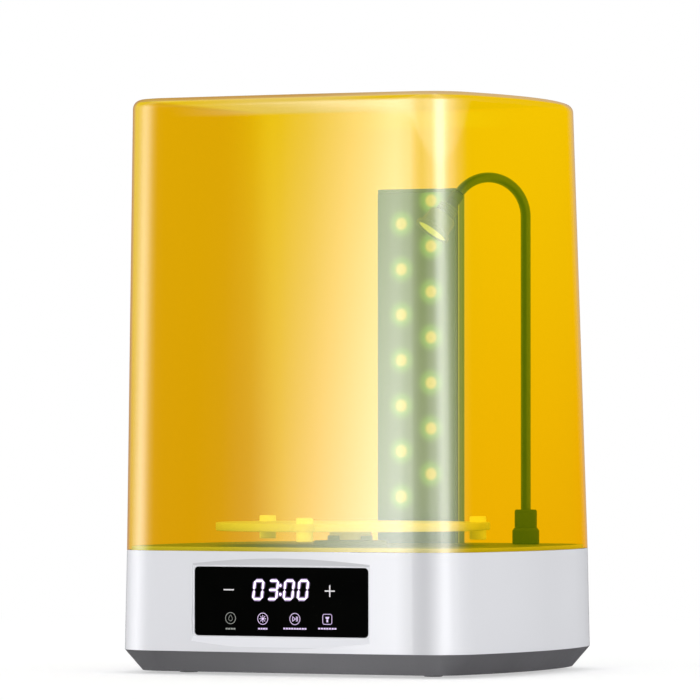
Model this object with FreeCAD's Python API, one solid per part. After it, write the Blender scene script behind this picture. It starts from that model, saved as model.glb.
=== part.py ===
import FreeCAD, Part
import math
import os

# Wash and cure station for resin prints, shown in its curing set-up.
# Millimetres, +Z up, origin on the floor under the middle of the base.
# Front (control panel) faces -Y, rear (power inlet) faces +Y, +X is right seen from the front.
# Heights below are taken from a datum level; save() lifts every piece by
# FLOOR_TO_DATUM so that the feet stand on Z = 0.

os.makedirs("parts", exist_ok=True)
Vector = FreeCAD.Vector

# ---------------------------------------------------------------- driving sizes
# Outer skin
BASE_W = 324.0          # width of the base at the grey plinth line (X)
BASE_D = 277.0          # depth of the base at the grey plinth line (Y)
FLOOR_TO_DATUM = 3.0
OVERALL_H = 438.0       # datum to the top of the hood
CORNER_R = 41.0         # plan corner radius
SIDE_BOW = 11.0         # how far each side bows out between its corners
FRONT_BOW = 2.4         # how far front and rear bow out between their corners
BASE_DRAFT = 1.15       # draft of each base wall, plinth line to hood line
HOOD_IN_SIDE = 2.8      # how far each hood side leans in at the top
HOOD_IN_FRONT = 3.4     # how far the hood front leans back at the top
HOOD_IN_REAR = 20.5     # how far the hood rear leans forward at the top
HOOD_WALL = 3.0
BASE_WALL = 3.0
PLINTH_RUN_IN = 13.8    # how far the sloping plinth runs in under the base

# Levels
Z_FOOT = -FLOOR_TO_DATUM
Z_TRAY = -1.0           # underside of the plinth tray
Z_PLINTH = 15.0         # grey to white line
Z_HOOD = 91.4           # shoulder the hood rests on
FLANGE_T = 3.0
Z_FLANGE = Z_HOOD - FLANGE_T
DECK_T = 3.0
Z_DECK = Z_HOOD + DECK_T
BELOW = -5.0            # start of cuts that come up from under the tray

FLANGE_INSET = 26.0
RIM_INSET = 3.5         # locating rim sits this far inside the hood line
RIM_T = 2.5

# Fixings, as (x, y)
TRAY_BOSSES = [(123.0, 109.0), (-123.0, 109.0), (123.0, -109.0), (-123.0, -109.0),
               (140.0, 0.0), (-140.0, 0.0)]
DECK_BOSSES = [(80.0, 122.0), (-80.0, 122.0), (80.0, -122.0), (-80.0, -122.0),
               (144.0, 52.0), (-144.0, 52.0), (144.0, -52.0), (-144.0, -52.0)]
FEET = [(104.0, 86.0), (-104.0, 86.0), (104.0, -86.0), (-104.0, -86.0)]
SCREW_R = 1.5
PILOT_R = 1.55          # hole a screw bites into
CLEARANCE_R = 1.7       # hole a screw passes through

# Control panel
PANEL_W, PANEL_H, PANEL_T = 146.8, 52.2, 2.5
PANEL_R = 3.2
PANEL_Z = 53.4          # centre height of the control lens
PANEL_Y = -135.6        # front face of the control lens
BOARD_T = 1.6           # every circuit board
CONTROL_Y = -130.4      # front face of the control board
CONTROL_HOLES = [(x, PANEL_Z + dz) for dz in (-21.0, 21.0) for x in (-74.0, 74.0)]  # x, z

# Main board
PCB_X0, PCB_X1, PCB_Y0, PCB_Y1, PCB_Z = -124.0, -24.0, 20.0, 95.0, 12.0
PCB_TOP = PCB_Z + BOARD_T
PCB_HOLES = [(PCB_X0 + 5, PCB_Y0 + 5), (PCB_X1 - 5, PCB_Y0 + 5),
             (PCB_X0 + 5, PCB_Y1 - 20), (PCB_X1 - 5, PCB_Y1 - 5)]

# Rear power inlet and switch
REAR_Y = 134.6          # face the inlet and switch seat on
INLET_Z = 44.0
JACK_X, SWITCH_X = -92.0, -60.0
SWITCH_TAB_X = 3.0      # terminals, each side of the switch centre
ROCKER_Y = REAR_Y - 0.6
ROCKER_TILT = 8.0

# Hood magnet and its sensor
MAGNET_X, MAGNET_Z = -60.0, 99.5

# Turntable, on a vertical axis at X = 0
SPINDLE_Y = -16.0
SHAFT_R = 3.0
SHAFT_TOP = 111.4
DISC_R, DISC_Z0, DISC_T = 104.0, 106.0, 6.2
DISC_TOP = DISC_Z0 + DISC_T
POST_CIRCLE_R, POST_R, LUG_R = 100.8, 6.5, 9.5
POST_Z0, POST_Z1 = 98.5, 116.7
HUB_R, HUB_Z0, HUB_Z1 = 17.5, 98.4, 102.0
NECK_R = 16.0
PEDESTAL_R, PEDESTAL_TOP = 28.5, 98.1
SLOT_ANGLE = -64.0      # drive slots of the hub
MOTOR_TOP = 82.0
MOTOR_TAB_X = 9.0       # terminals, each side of the motor axis
BRACKET_HALF_D = 24.0

# Lamp tower
TOWER_X, TOWER_Y0 = 3.0, 97.0
TOWER_W, TOWER_D = 68.0, 19.0
TOWER_TOP = 374.5
TOWER_X0, TOWER_X1 = TOWER_X - TOWER_W / 2.0, TOWER_X + TOWER_W / 2.0
TOWER_Y1 = TOWER_Y0 + TOWER_D
TOWER_MID_Y = TOWER_Y0 + 8.5    # lead hole and screws
TOWER_LEAD_R = 5.0
CAP_Z = TOWER_TOP - 3.0
WINDOW_T = 2.5
LED_BOARD_Y = TOWER_Y0 + 7.6
LED_TOP_Z, LED_PITCH, LEDS_PER_COLUMN = 365.0, 36.0, 7
LED_DX = 13.0

# Gooseneck lamp
PLUG_X, PLUG_Y = 103.5, 85.0
PLUG_Z = Z_DECK + 0.1
SWIVEL_Z = PLUG_Z + 13.1
ARM_DIR = (-0.716, -0.698)      # plan direction of the gooseneck from its plug
TUBE_R, TUBE_BORE_R = 3.9, 2.4
BEND_R = 30.4
BEND_Z = 350.4          # height where the bend starts
BEND_END = 143.2        # degrees of bend
HEAD_LEN = 38.6         # end of the bend to the lamp face
STRAIGHT_GAP_Z = 322.0  # middle of the gap on the straight run
BEND_GAP_DEG = 70.0     # middle of the gap on the bend
HALF_GAP = 1.3          # half gap between gooseneck lengths
HALF_GAP_DEG = math.degrees(HALF_GAP / BEND_R)


# ---------------------------------------------------------------- helpers
def level(z):
    """Width, depth and Y shift of the outer skin at height z."""
    if z <= Z_HOOD:
        t = (z - Z_PLINTH) / (Z_HOOD - Z_PLINTH)
        return BASE_W - 2 * BASE_DRAFT * t, BASE_D - 2 * BASE_DRAFT * t, 0.0
    t = (z - Z_HOOD) / (OVERALL_H - Z_HOOD)
    width = BASE_W - 2 * BASE_DRAFT - 2 * HOOD_IN_SIDE * t
    depth = BASE_D - 2 * BASE_DRAFT - (HOOD_IN_FRONT + HOOD_IN_REAR) * t
    return width, depth, (HOOD_IN_FRONT - HOOD_IN_REAR) * t / 2.0


def plan_wire(width, depth, shift_y, z, inset):
    """Bowed rounded rectangle, tangent arcs all round, moved inwards by inset."""
    half_w, half_d = width / 2.0, depth / 2.0
    run_y = half_d - CORNER_R - FRONT_BOW
    run_x = half_w - CORNER_R - SIDE_BOW
    side_r = (run_y ** 2 + SIDE_BOW ** 2) / (2 * SIDE_BOW)
    front_r = (run_x ** 2 + FRONT_BOW ** 2) / (2 * FRONT_BOW)
    side_cx, front_cy = half_w - side_r, half_d - front_r
    # corner arc centre: inside both big arcs by the corner radius
    y = run_y
    for _ in range(60):
        x = side_cx + math.sqrt((side_r - CORNER_R) ** 2 - y * y)
        y = front_cy + math.sqrt((front_r - CORNER_R) ** 2 - x * x)
    # directions of the two tangent points, seen from the corner centre
    side_angle = math.atan2(y, x - side_cx)
    front_angle = math.atan2(y - front_cy, x)

    def arc(cx, cy, radius, start, end):
        return [(cx + radius * math.cos(t), cy + radius * math.sin(t))
                for t in (start, (start + end) / 2.0, end)]

    right = arc(side_cx, 0.0, side_r - inset, -side_angle, side_angle)
    corner = arc(x, y, CORNER_R - inset, side_angle, front_angle)
    back = arc(0.0, front_cy, front_r - inset, front_angle, math.pi - front_angle)
    # anticlockwise from the right side; the rest mirrors these three
    runs = [right, corner, back,
            [(-px, py) for px, py in reversed(corner)],
            [(-px, py) for px, py in reversed(right)],
            [(-px, -py) for px, py in corner],
            [(px, -py) for px, py in reversed(back)],
            [(px, -py) for px, py in reversed(corner)]]
    return Part.Wire([Part.Arc(*[Vector(px, py + shift_y, z) for px, py in run]).toShape()
                      for run in runs])


def skin(z0, inset0, z1, inset1, hold=None):
    """Solid between two inset plan outlines; hold sizes both from one fixed level."""
    size0 = level(z0 if hold is None else hold)
    size1 = level(z1 if hold is None else hold)
    return Part.makeLoft([plan_wire(*size0, z0, inset0), plan_wire(*size1, z1, inset1)],
                         True, True)


def box(x0, x1, y0, y1, z0, z1):
    return Part.makeBox(x1 - x0, y1 - y0, z1 - z0, Vector(x0, y0, z0))


def cyl(radius, x, y, z0, z1):
    return Part.makeCylinder(radius, z1 - z0, Vector(x, y, z0), Vector(0, 0, 1))


def cyl_y(radius, x, z, y0, y1):
    return Part.makeCylinder(radius, y1 - y0, Vector(x, y0, z), Vector(0, 1, 0))


def cyl_x(radius, y, z, x0, x1):
    return Part.makeCylinder(radius, x1 - x0, Vector(x0, y, z), Vector(1, 0, 0))


def ring(outer_r, inner_r, x, y, z0, z1):
    return cyl(outer_r, x, y, z0, z1).cut(cyl(inner_r, x, y, z0 - 1, z1 + 1))


def hexagon(across_flats, x, y, z0, z1):
    radius = across_flats / math.sqrt(3.0)
    angles = [math.radians(60 * i) for i in range(7)]
    points = [Vector(x + radius * math.cos(t), y + radius * math.sin(t), z0) for t in angles]
    return Part.Face(Part.makePolygon(points)).extrude(Vector(0, 0, z1 - z0))


def rounded_xz(width, height, radius, x, y, z, depth):
    """Rounded rectangle plate facing -Y, centred at x, z, from y towards +Y."""
    x0, x1 = x - width / 2.0, x + width / 2.0
    z0, z1 = z - height / 2.0, z + height / 2.0
    k = radius * (1 - math.sqrt(0.5))

    def line(*ends):
        return Part.LineSegment(*[Vector(px, y, pz) for px, pz in ends]).toShape()

    def arc(*points):
        return Part.Arc(*[Vector(px, y, pz) for px, pz in points]).toShape()

    edges = [line((x0 + radius, z0), (x1 - radius, z0)),
             arc((x1 - radius, z0), (x1 - k, z0 + k), (x1, z0 + radius)),
             line((x1, z0 + radius), (x1, z1 - radius)),
             arc((x1, z1 - radius), (x1 - k, z1 - k), (x1 - radius, z1)),
             line((x1 - radius, z1), (x0 + radius, z1)),
             arc((x0 + radius, z1), (x0 + k, z1 - k), (x0, z1 - radius)),
             line((x0, z1 - radius), (x0, z0 + radius)),
             arc((x0, z0 + radius), (x0 + k, z0 + k), (x0 + radius, z0))]
    return Part.Face(Part.Wire(edges)).extrude(Vector(0, depth, 0))


def rounded_xy(width, depth, radius, x, y, z0, z1):
    """Upright block with rounded vertical edges, centred at x, y."""
    block = rounded_xz(width, depth, radius, 0, 0, 0, z1 - z0)
    block.rotate(Vector(0, 0, 0), Vector(1, 0, 0), 90)
    block.translate(Vector(x, y, z0))
    return block


def revolve(profile, origin, axis=Vector(0, 0, 1)):
    """Turn a (radius, height) profile round an axis that starts at origin."""
    points = [Vector(radius, 0, height) for radius, height in profile + profile[:1]]
    solid = Part.Face(Part.makePolygon(points)).revolve(Vector(0, 0, 0), Vector(0, 0, 1), 360)
    solid.Placement = FreeCAD.Placement(origin, FreeCAD.Rotation(Vector(0, 0, 1), axis))
    return solid


def fused(shapes):
    out = shapes[0]
    for shape in shapes[1:]:
        out = out.fuse(shape)
    return out.removeSplitter()


def drill(shape, points, radius, z0, z1):
    """Cut a vertical hole at each (x, y)."""
    for x, y in points:
        shape = shape.cut(cyl(radius, x, y, z0, z1))
    return shape


def edges_above(shape, z):
    return [e for e in shape.Edges if e.BoundBox.ZMin > z]


def around_spindle(radius, angles):
    """Points (x, y) on a circle round the turntable axis."""
    return [(radius * math.cos(math.radians(t)), SPINDLE_Y + radius * math.sin(math.radians(t)))
            for t in angles]


def pan_screws(points, seat_z, length, up=True, radius=SCREW_R, head_r=2.8, head_h=2.0):
    """Screws driven from below (up) or from above; seat_z is the seat of the head."""
    way = 1 if up else -1
    end_z = seat_z - way * head_h
    screws = []
    for x, y in points:
        shank = Part.makeCylinder(radius, length, Vector(x, y, seat_z), Vector(0, 0, way))
        head = Part.makeCylinder(head_r, head_h, Vector(x, y, seat_z), Vector(0, 0, -way))
        rim = [e for e in head.Edges if abs(e.BoundBox.ZMin - end_z) < 1e-6
               and abs(e.BoundBox.ZMax - end_z) < 1e-6]
        head = head.makeFillet(0.7, rim)
        socket = Part.makeCylinder(1.1, head_h * 0.55, Vector(x, y, end_z), Vector(0, 0, way))
        screws.append(head.fuse(shank).cut(socket))
    return screws


def cable(points, radius):
    """Round lead along straight runs with ball corners."""
    points = [Vector(*p) for p in points]
    runs = [Part.makeCylinder(radius, (end - start).Length, start, end - start)
            for start, end in zip(points, points[1:])]
    return fused(runs + [Part.makeSphere(radius, p) for p in points[1:-1]])


def save(name, shape):
    """Write a solid, a shape or a list of shapes, lifted to stand on the floor."""
    if isinstance(shape, list):
        shape = Part.makeCompound(shape)
    solids = shape.Solids
    assert solids, name
    for solid in solids:
        assert solid.isValid() and solid.Volume > 0, name
    out = solids[0] if len(solids) == 1 else Part.makeCompound(solids)
    out.translate(Vector(0, 0, FLOOR_TO_DATUM))
    out.exportStep("parts/%s.step" % name)


# ---------------------------------------------------------------- base housing
def scoop_wire(y, half_w, side_reach, mid_reach):
    """Outline round the panel; reaches go beyond its top and bottom edges."""
    top, bottom = PANEL_Z + PANEL_H / 2.0, PANEL_Z - PANEL_H / 2.0
    top_left = Vector(-half_w, y, top + side_reach)
    top_right = Vector(half_w, y, top + side_reach)
    bottom_left = Vector(-half_w, y, bottom - side_reach)
    bottom_right = Vector(half_w, y, bottom - side_reach)
    return Part.Wire([
        Part.LineSegment(bottom_left, top_left).toShape(),
        Part.Arc(top_left, Vector(0, y, top + mid_reach), top_right).toShape(),
        Part.LineSegment(top_right, bottom_right).toShape(),
        Part.Arc(bottom_right, Vector(0, y, bottom - mid_reach), bottom_left).toShape()])


def shell_with_rim():
    """Base walls, top flange and the locating rim that the hood drops over."""
    body = skin(Z_PLINTH, 0.0, Z_HOOD, 0.0)
    body = body.cut(skin(Z_PLINTH, BASE_WALL, Z_FLANGE, BASE_WALL))
    body = body.cut(skin(Z_FLANGE - 1.0, FLANGE_INSET, Z_HOOD + 1.0, FLANGE_INSET, hold=Z_HOOD))
    rim_inner = RIM_INSET + RIM_T
    rim = skin(Z_HOOD - 0.5, RIM_INSET, Z_DECK, RIM_INSET, hold=Z_HOOD)
    rim = rim.cut(skin(Z_HOOD - 2.0, rim_inner, Z_DECK + 1, rim_inner, hold=Z_HOOD))
    return body.fuse(rim)


def cut_panel_seat(body):
    """Pad behind the control panel, shallow arched scoop round it and its openings."""
    inside = skin(Z_PLINTH, 1.0, Z_FLANGE, 1.0)
    body = body.fuse(box(-81, 81, -137.0, -130.5, 19.0, 86.5).common(inside))
    scoop = Part.makeLoft([scoop_wire(-139.5, 76.6, 9.0, 12.5),
                           scoop_wire(PANEL_Y + 0.05, 74.6, 0.9, 1.6)], True, True)
    body = body.cut(scoop)
    start_y = -140.0
    body = body.cut(rounded_xz(PANEL_W + 0.4, PANEL_H + 0.4, PANEL_R + 0.2, 0, start_y, PANEL_Z,
                               PANEL_Y - start_y + PANEL_T + 0.05))
    body = body.cut(box(-69, 69, start_y, -129, PANEL_Z - 22, PANEL_Z + 22))
    for x, z in CONTROL_HOLES:
        body = body.cut(cyl_y(1.3, x, z, -132.7, -130.0))
    return body


def cut_inlet_seat(body):
    """Rear pad, its recess and the power inlet and switch openings."""
    mid_x = (JACK_X + SWITCH_X) / 2.0
    pad = rounded_xz(74.0, 34.0, 3.0, mid_x, 129.5, INLET_Z, 7.0)
    body = body.fuse(pad.common(skin(Z_PLINTH, 1.0, Z_FLANGE, 1.0)))
    body = body.cut(rounded_xz(66.0, 26.0, 4.0, mid_x, REAR_Y, INLET_Z, 8.0))
    body = body.cut(cyl_y(4.1, JACK_X, INLET_Z, 128.0, 140.0))
    return body.cut(box(SWITCH_X - 6.6, SWITCH_X + 6.6, 128.0, 140.0,
                        INLET_Z - 9.7, INLET_Z + 9.7))


def base_housing():
    body = shell_with_rim()
    for x, y in TRAY_BOSSES:
        body = body.fuse(cyl(4.5, x, y, 8.4, Z_FLANGE + 0.5))
        body = body.cut(cyl(PILOT_R, x, y, 8.0, 26.0))
    body = drill(body, DECK_BOSSES, CLEARANCE_R, Z_FLANGE - 1, Z_HOOD + 1)
    # notch that lets the hood sensor sit close to the rear wall
    body = body.cut(box(MAGNET_X - 11, MAGNET_X + 11, 104.0, 121.5, Z_FLANGE - 1, Z_HOOD + 1))
    return cut_inlet_seat(cut_panel_seat(body)).removeSplitter()


save("base_housing", base_housing())


# ---------------------------------------------------------------- plinth tray and feet
def tray_shell():
    """Sloping tray with a lip that stands up inside the base wall."""
    tray = skin(Z_TRAY, PLINTH_RUN_IN, Z_PLINTH, 0.0, hold=Z_PLINTH)
    tray = tray.cut(skin(Z_TRAY + 3.0, PLINTH_RUN_IN + 1.6, Z_PLINTH + 0.01, 4.2, hold=Z_PLINTH))
    lip = skin(Z_PLINTH - 3.0, 3.6, Z_PLINTH + 4.0, 3.6, hold=Z_PLINTH)
    lip = lip.cut(skin(Z_PLINTH - 4.0, 5.8, Z_PLINTH + 5.0, 5.8, hold=Z_PLINTH))
    # keep the lip within the tray slope and the base wall
    slope = skin(Z_TRAY, PLINTH_RUN_IN, Z_PLINTH + 0.01, 0.0, hold=Z_PLINTH)
    lip = lip.common(slope.fuse(skin(Z_PLINTH, 1.0, Z_PLINTH + 6, 1.0, hold=Z_PLINTH)))
    return tray.fuse(lip)


TRAY_SCREW_SEAT = 4.4


def bottom_tray():
    tray = tray_shell()
    for x, y in TRAY_BOSSES:
        tray = tray.fuse(cyl(5.5, x, y, Z_TRAY + 2.0, 8.2))
        tray = tray.cut(cyl(CLEARANCE_R, x, y, BELOW, 10))
        tray = tray.cut(cyl(3.2, x, y, BELOW, TRAY_SCREW_SEAT))
    for x, y in FEET:
        tray = tray.fuse(cyl(11.0, x, y, Z_TRAY + 1.0, Z_FOOT + 7.0))
        tray = tray.cut(cyl(8.2, x, y, BELOW, Z_FOOT + 4.0))
        tray = tray.cut(cyl(2.6, x, y, BELOW, 10))
    # standoffs for the main board
    for x, y in PCB_HOLES:
        tray = tray.fuse(cyl(3.2, x, y, Z_TRAY + 2.0, PCB_Z))
        tray = tray.cut(cyl(1.3, x, y, 6.0, PCB_Z + 1))
    # cooling slots in the tray floor
    for i in range(9):
        tray = tray.cut(rounded_xy(3.0, 44.0, 1.45, 40.0 + 8.0 * i, 30.0, -4.0, 5.0))
    return tray.removeSplitter()


def rubber_foot(x, y):
    """Round pad with a barbed stem."""
    origin = Vector(x, y, Z_FOOT)
    pad = revolve([(0, 4.0), (0, 0), (6.4, 0), (7.4, 0.5), (8.0, 1.6), (8.0, 4.0)], origin)
    stem = revolve([(0, 3.9), (2.4, 3.9), (2.4, 7.1), (3.6, 7.3), (2.0, 9.6), (0, 9.6)], origin)
    return pad.fuse(stem).removeSplitter()


save("bottom_tray", bottom_tray())
save("rubber_feet", [rubber_foot(x, y) for x, y in FEET])
save("tray_screws", pan_screws(TRAY_BOSSES, TRAY_SCREW_SEAT, 16.0))

# ---------------------------------------------------------------- deck
PEDESTAL_SCREWS = around_spindle(21.0, (90, 210, 330))
BRACKET_SCREWS = [(x, SPINDLE_Y + dy) for x in (46.0, -46.0) for dy in (-15, 15)]
TOWER_SCREWS = [(TOWER_X - 26, TOWER_MID_Y), (TOWER_X + 26, TOWER_MID_Y)]


def deck_plate():
    inset = RIM_INSET + RIM_T + 0.3
    deck = skin(Z_HOOD, inset, Z_DECK, inset, hold=Z_HOOD)
    deck = drill(deck, DECK_BOSSES + BRACKET_SCREWS, PILOT_R, Z_HOOD - 1, Z_DECK - 0.8)
    deck = drill(deck, PEDESTAL_SCREWS + TOWER_SCREWS, CLEARANCE_R, Z_HOOD - 1, Z_DECK + 1)
    # spindle bush, lamp socket and tower lead
    for radius, x, y in ((6.05, 0, SPINDLE_Y), (11.0, PLUG_X, PLUG_Y),
                         (TOWER_LEAD_R, TOWER_X, TOWER_MID_Y)):
        deck = deck.cut(cyl(radius, x, y, Z_HOOD - 1, Z_DECK + 1))
    return deck


save("deck_plate", deck_plate())
save("deck_screws", pan_screws(DECK_BOSSES, Z_FLANGE, 4.8)
     + pan_screws(PEDESTAL_SCREWS, Z_HOOD, 5.6)
     + pan_screws(TOWER_SCREWS, Z_HOOD, 6.6))


# ---------------------------------------------------------------- control panel
def control_lens():
    lens = rounded_xz(PANEL_W, PANEL_H, PANEL_R, 0, PANEL_Y, PANEL_Z, PANEL_T)
    front = [e for e in lens.Edges if abs(e.BoundBox.YMin - PANEL_Y) < 1e-6
             and abs(e.BoundBox.YMax - PANEL_Y) < 1e-6]
    return lens.makeChamfer(0.35, front)


def control_pcb():
    board = box(-78, 78, CONTROL_Y, CONTROL_Y + BOARD_T, PANEL_Z - 25, PANEL_Z + 25)
    for x, z in CONTROL_HOLES:
        board = board.cut(cyl_y(1.4, x, z, -134, -120))
    return board


def control_screw(x, z):
    seat_y = CONTROL_Y + BOARD_T
    shank = cyl_y(1.2, x, z, -132.5, seat_y)
    head = cyl_y(2.3, x, z, seat_y, seat_y + 1.6)
    head = head.cut(cyl_y(0.9, x, z, CONTROL_Y + 2.4, CONTROL_Y + 4))
    return shank.fuse(head).removeSplitter()


def display_module():
    """Display block with a recess for each of its four digits."""
    display = box(-31, 31, -133.0, CONTROL_Y, 50.0, 72.0)
    digit_z = 61.0
    for x in (-20.5, -8.5, 6.5, 18.5):
        display = display.cut(box(x - 4.2, x + 4.2, -134, -132.6, digit_z - 7.5, digit_z + 7.5))
    return display


PANEL_LEDS = [(-42.3, 39.5), (-14.8, 39.5), (12.7, 39.5), (40.5, 39.5),
              (-43.0, 60.5), (43.0, 60.5)]     # x, z

save("control_lens", control_lens())
save("control_pcb", control_pcb())
save("display_module", display_module())
save("panel_leds", [box(x - 1.6, x + 1.6, CONTROL_Y - 1.1, CONTROL_Y, z - 1.0, z + 1.0)
                    for x, z in PANEL_LEDS])


# ---------------------------------------------------------------- main board
def block(x0, x1, y0, y1, height):
    return box(x0, x1, y0, y1, PCB_TOP, PCB_TOP + height)


def can(radius, x, y, height):
    return cyl(radius, x, y, PCB_TOP, PCB_TOP + height)


save("main_pcb", drill(box(PCB_X0, PCB_X1, PCB_Y0, PCB_Y1, PCB_Z, PCB_TOP),
                       PCB_HOLES, 1.6, PCB_Z - 1, PCB_Z + 3))
save("board_screws", [control_screw(x, z) for x, z in CONTROL_HOLES]
     + pan_screws(PCB_HOLES, PCB_TOP, 6.5, up=False, radius=1.2, head_r=2.3, head_h=1.6))
save("board_components", [
    block(-80, -66, 44, 58, 1.4),
    block(-110, -98, 36, 52, 9.0),
    can(6.3, -50, 40, 20.0),
    can(4.0, -36, 52, 12.0),
    can(4.0, -36, 64, 12.0),
    block(-60, -48, 60, 72, 6.5),
    # blocks along the rear edge, met by leads
    block(-108, -94, PCB_Y1 - 10, PCB_Y1 - 1, 8.0),
    block(-88, -76, PCB_Y1 - 9, PCB_Y1 - 1, 7.0),
    block(-70, -58, PCB_Y1 - 9, PCB_Y1 - 1, 7.0),
    block(-52, -42, PCB_Y1 - 9, PCB_Y1 - 1, 7.0),
    # blocks along the front edge, met by leads
    block(-92, -72, PCB_Y0 + 2, PCB_Y0 + 8, 7.0),
    block(-60, -46, PCB_Y0 + 2, PCB_Y0 + 8, 7.0)])


# ---------------------------------------------------------------- rear power inlet and switch
def power_jack():
    jack = fused([cyl_y(6.0, JACK_X, INLET_Z, REAR_Y, REAR_Y + 1.6),
                  cyl_y(4.0, JACK_X, INLET_Z, 120.0, REAR_Y + 0.5),
                  box(JACK_X - 5, JACK_X + 5, 112.0, 121.0, INLET_Z - 5, INLET_Z + 5)])
    jack = jack.cut(cyl_y(2.8, JACK_X, INLET_Z, 123.0, 140.0))
    # centre pin
    return jack.fuse(cyl_y(1.05, JACK_X, INLET_Z, 122.0, 133.5)).removeSplitter()


def power_jack_nut():
    nut = hexagon(12.0, 0, 0, 0, 2.4).cut(cyl(4.06, 0, 0, -1, 4))
    nut.rotate(Vector(0, 0, 0), Vector(1, 0, 0), 90)
    nut.translate(Vector(JACK_X, 129.4, INLET_Z))
    return nut


def switch_frame():
    frame = fused([rounded_xz(15.4, 22.0, 1.5, SWITCH_X, REAR_Y, INLET_Z, 2.0),
                   box(SWITCH_X - 6.4, SWITCH_X + 6.4, 117.0, REAR_Y + 0.5,
                       INLET_Z - 9.5, INLET_Z + 9.5)])
    frame = frame.cut(box(SWITCH_X - 5.1, SWITCH_X + 5.1, ROCKER_Y - 6.5, 140.0,
                          INLET_Z - 7.6, INLET_Z + 7.6))
    frame = frame.cut(cyl_x(1.05, ROCKER_Y, INLET_Z, SWITCH_X - 6.3, SWITCH_X + 6.3))
    for x in (SWITCH_X - SWITCH_TAB_X, SWITCH_X + SWITCH_TAB_X):
        frame = frame.fuse(box(x - 0.4, x + 0.4, 110.0, 117.5, INLET_Z - 2.4, INLET_Z + 2.4))
    return frame.removeSplitter()


def power_rocker():
    """Shallow V, drawn level and then tipped to its off position."""
    # height above the pin, distance behind the pin
    outline = [(-6.7, -2.6), (-6.9, 2.9), (0.0, 1.9), (6.9, 2.9), (6.7, -2.6), (0.0, -3.2)]
    polygon = Part.makePolygon([Vector(SWITCH_X - 4.9, ROCKER_Y + dy, INLET_Z + dz)
                                for dz, dy in outline + outline[:1]])
    rocker = Part.Face(polygon).extrude(Vector(9.8, 0, 0))
    rocker = rocker.cut(cyl_x(1.05, ROCKER_Y, INLET_Z, SWITCH_X - 8, SWITCH_X + 8))
    rocker.rotate(Vector(SWITCH_X, ROCKER_Y, INLET_Z), Vector(1, 0, 0), -ROCKER_TILT)
    return rocker


save("power_jack", power_jack())
save("power_jack_nut", power_jack_nut())
save("switch_frame", switch_frame())
save("power_rocker", power_rocker())
save("rocker_pin", cyl_x(1.0, ROCKER_Y, INLET_Z, SWITCH_X - 6.1, SWITCH_X + 6.1))

# ---------------------------------------------------------------- turntable drive
MOTOR_SCREWS = around_spindle(15.5, (30, 150, 270))
HUB_MAGNETS = around_spindle(10.5, (SLOT_ANGLE + 90, SLOT_ANGLE - 90))
NECK_SCREWS = around_spindle(9.5, (26, 146, 266))
POSTS = around_spindle(POST_CIRCLE_R, (36.0, 156.0, 276.0))


def turntable_pedestal():
    height = PEDESTAL_TOP - Z_DECK
    pedestal = revolve([(6.05, 0), (6.05, 1.0), (8.05, 1.0), (8.05, height),
                        (PEDESTAL_R - 1.2, height), (PEDESTAL_R, height - 1.0),
                        (PEDESTAL_R + 0.6, 0)], Vector(0, SPINDLE_Y, Z_DECK))
    return drill(pedestal, PEDESTAL_SCREWS, PILOT_R, Z_DECK - 1, PEDESTAL_TOP - 0.9)


def gear_motor():
    motor = fused([cyl(18.5, 0, SPINDLE_Y, 58.0, MOTOR_TOP),
                   cyl(16.8, 0, SPINDLE_Y, 27.0, 58.5),
                   cyl(6.0, 0, SPINDLE_Y, MOTOR_TOP - 1, 87.5),
                   cyl(5.0, 0, SPINDLE_Y, 24.5, 27.5)])
    for x in (-MOTOR_TAB_X, MOTOR_TAB_X):
        motor = motor.fuse(box(x - 1.6, x + 1.6, SPINDLE_Y - 0.4, SPINDLE_Y + 0.4, 21.0, 27.5))
    motor = motor.cut(cyl(SHAFT_R + 0.05, 0, SPINDLE_Y, 62.0, 90.0))
    return drill(motor, MOTOR_SCREWS, PILOT_R, 76.0, 84.0).removeSplitter()


def motor_bracket():
    """Folded bridge: top on the motor, two legs up, two feet under the deck."""
    spans = [(-36, 36, MOTOR_TOP, MOTOR_TOP + 2.0),     # x0, x1, z0, z1
             (-36, -34, MOTOR_TOP, Z_HOOD),
             (34, 36, MOTOR_TOP, Z_HOOD),
             (-54, -34, Z_HOOD - 2.0, Z_HOOD),
             (34, 54, Z_HOOD - 2.0, Z_HOOD)]
    y0, y1 = SPINDLE_Y - BRACKET_HALF_D, SPINDLE_Y + BRACKET_HALF_D
    bracket = fused([box(x0, x1, y0, y1, z0, z1) for x0, x1, z0, z1 in spans])
    bracket = bracket.cut(cyl(6.3, 0, SPINDLE_Y, 80, 90))
    return drill(bracket, MOTOR_SCREWS + BRACKET_SCREWS, CLEARANCE_R, 80, 95)


def output_shaft():
    shaft = cyl(SHAFT_R, 0, SPINDLE_Y, 63.0, SHAFT_TOP)
    return shaft.makeChamfer(0.6, edges_above(shaft, SHAFT_TOP - 0.1))


def drive_boxes(x0, x1, half_w, z0, z1):
    """Two opposite boxes, drawn along +X and turned to the drive slots."""
    boxes = []
    for angle in (SLOT_ANGLE, SLOT_ANGLE + 180):
        shape = box(x0, x1, -half_w, half_w, z0, z1)
        shape.rotate(Vector(0, 0, 0), Vector(0, 0, 1), angle)
        shape.translate(Vector(0, SPINDLE_Y, 0))
        boxes.append(shape)
    return boxes


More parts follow.
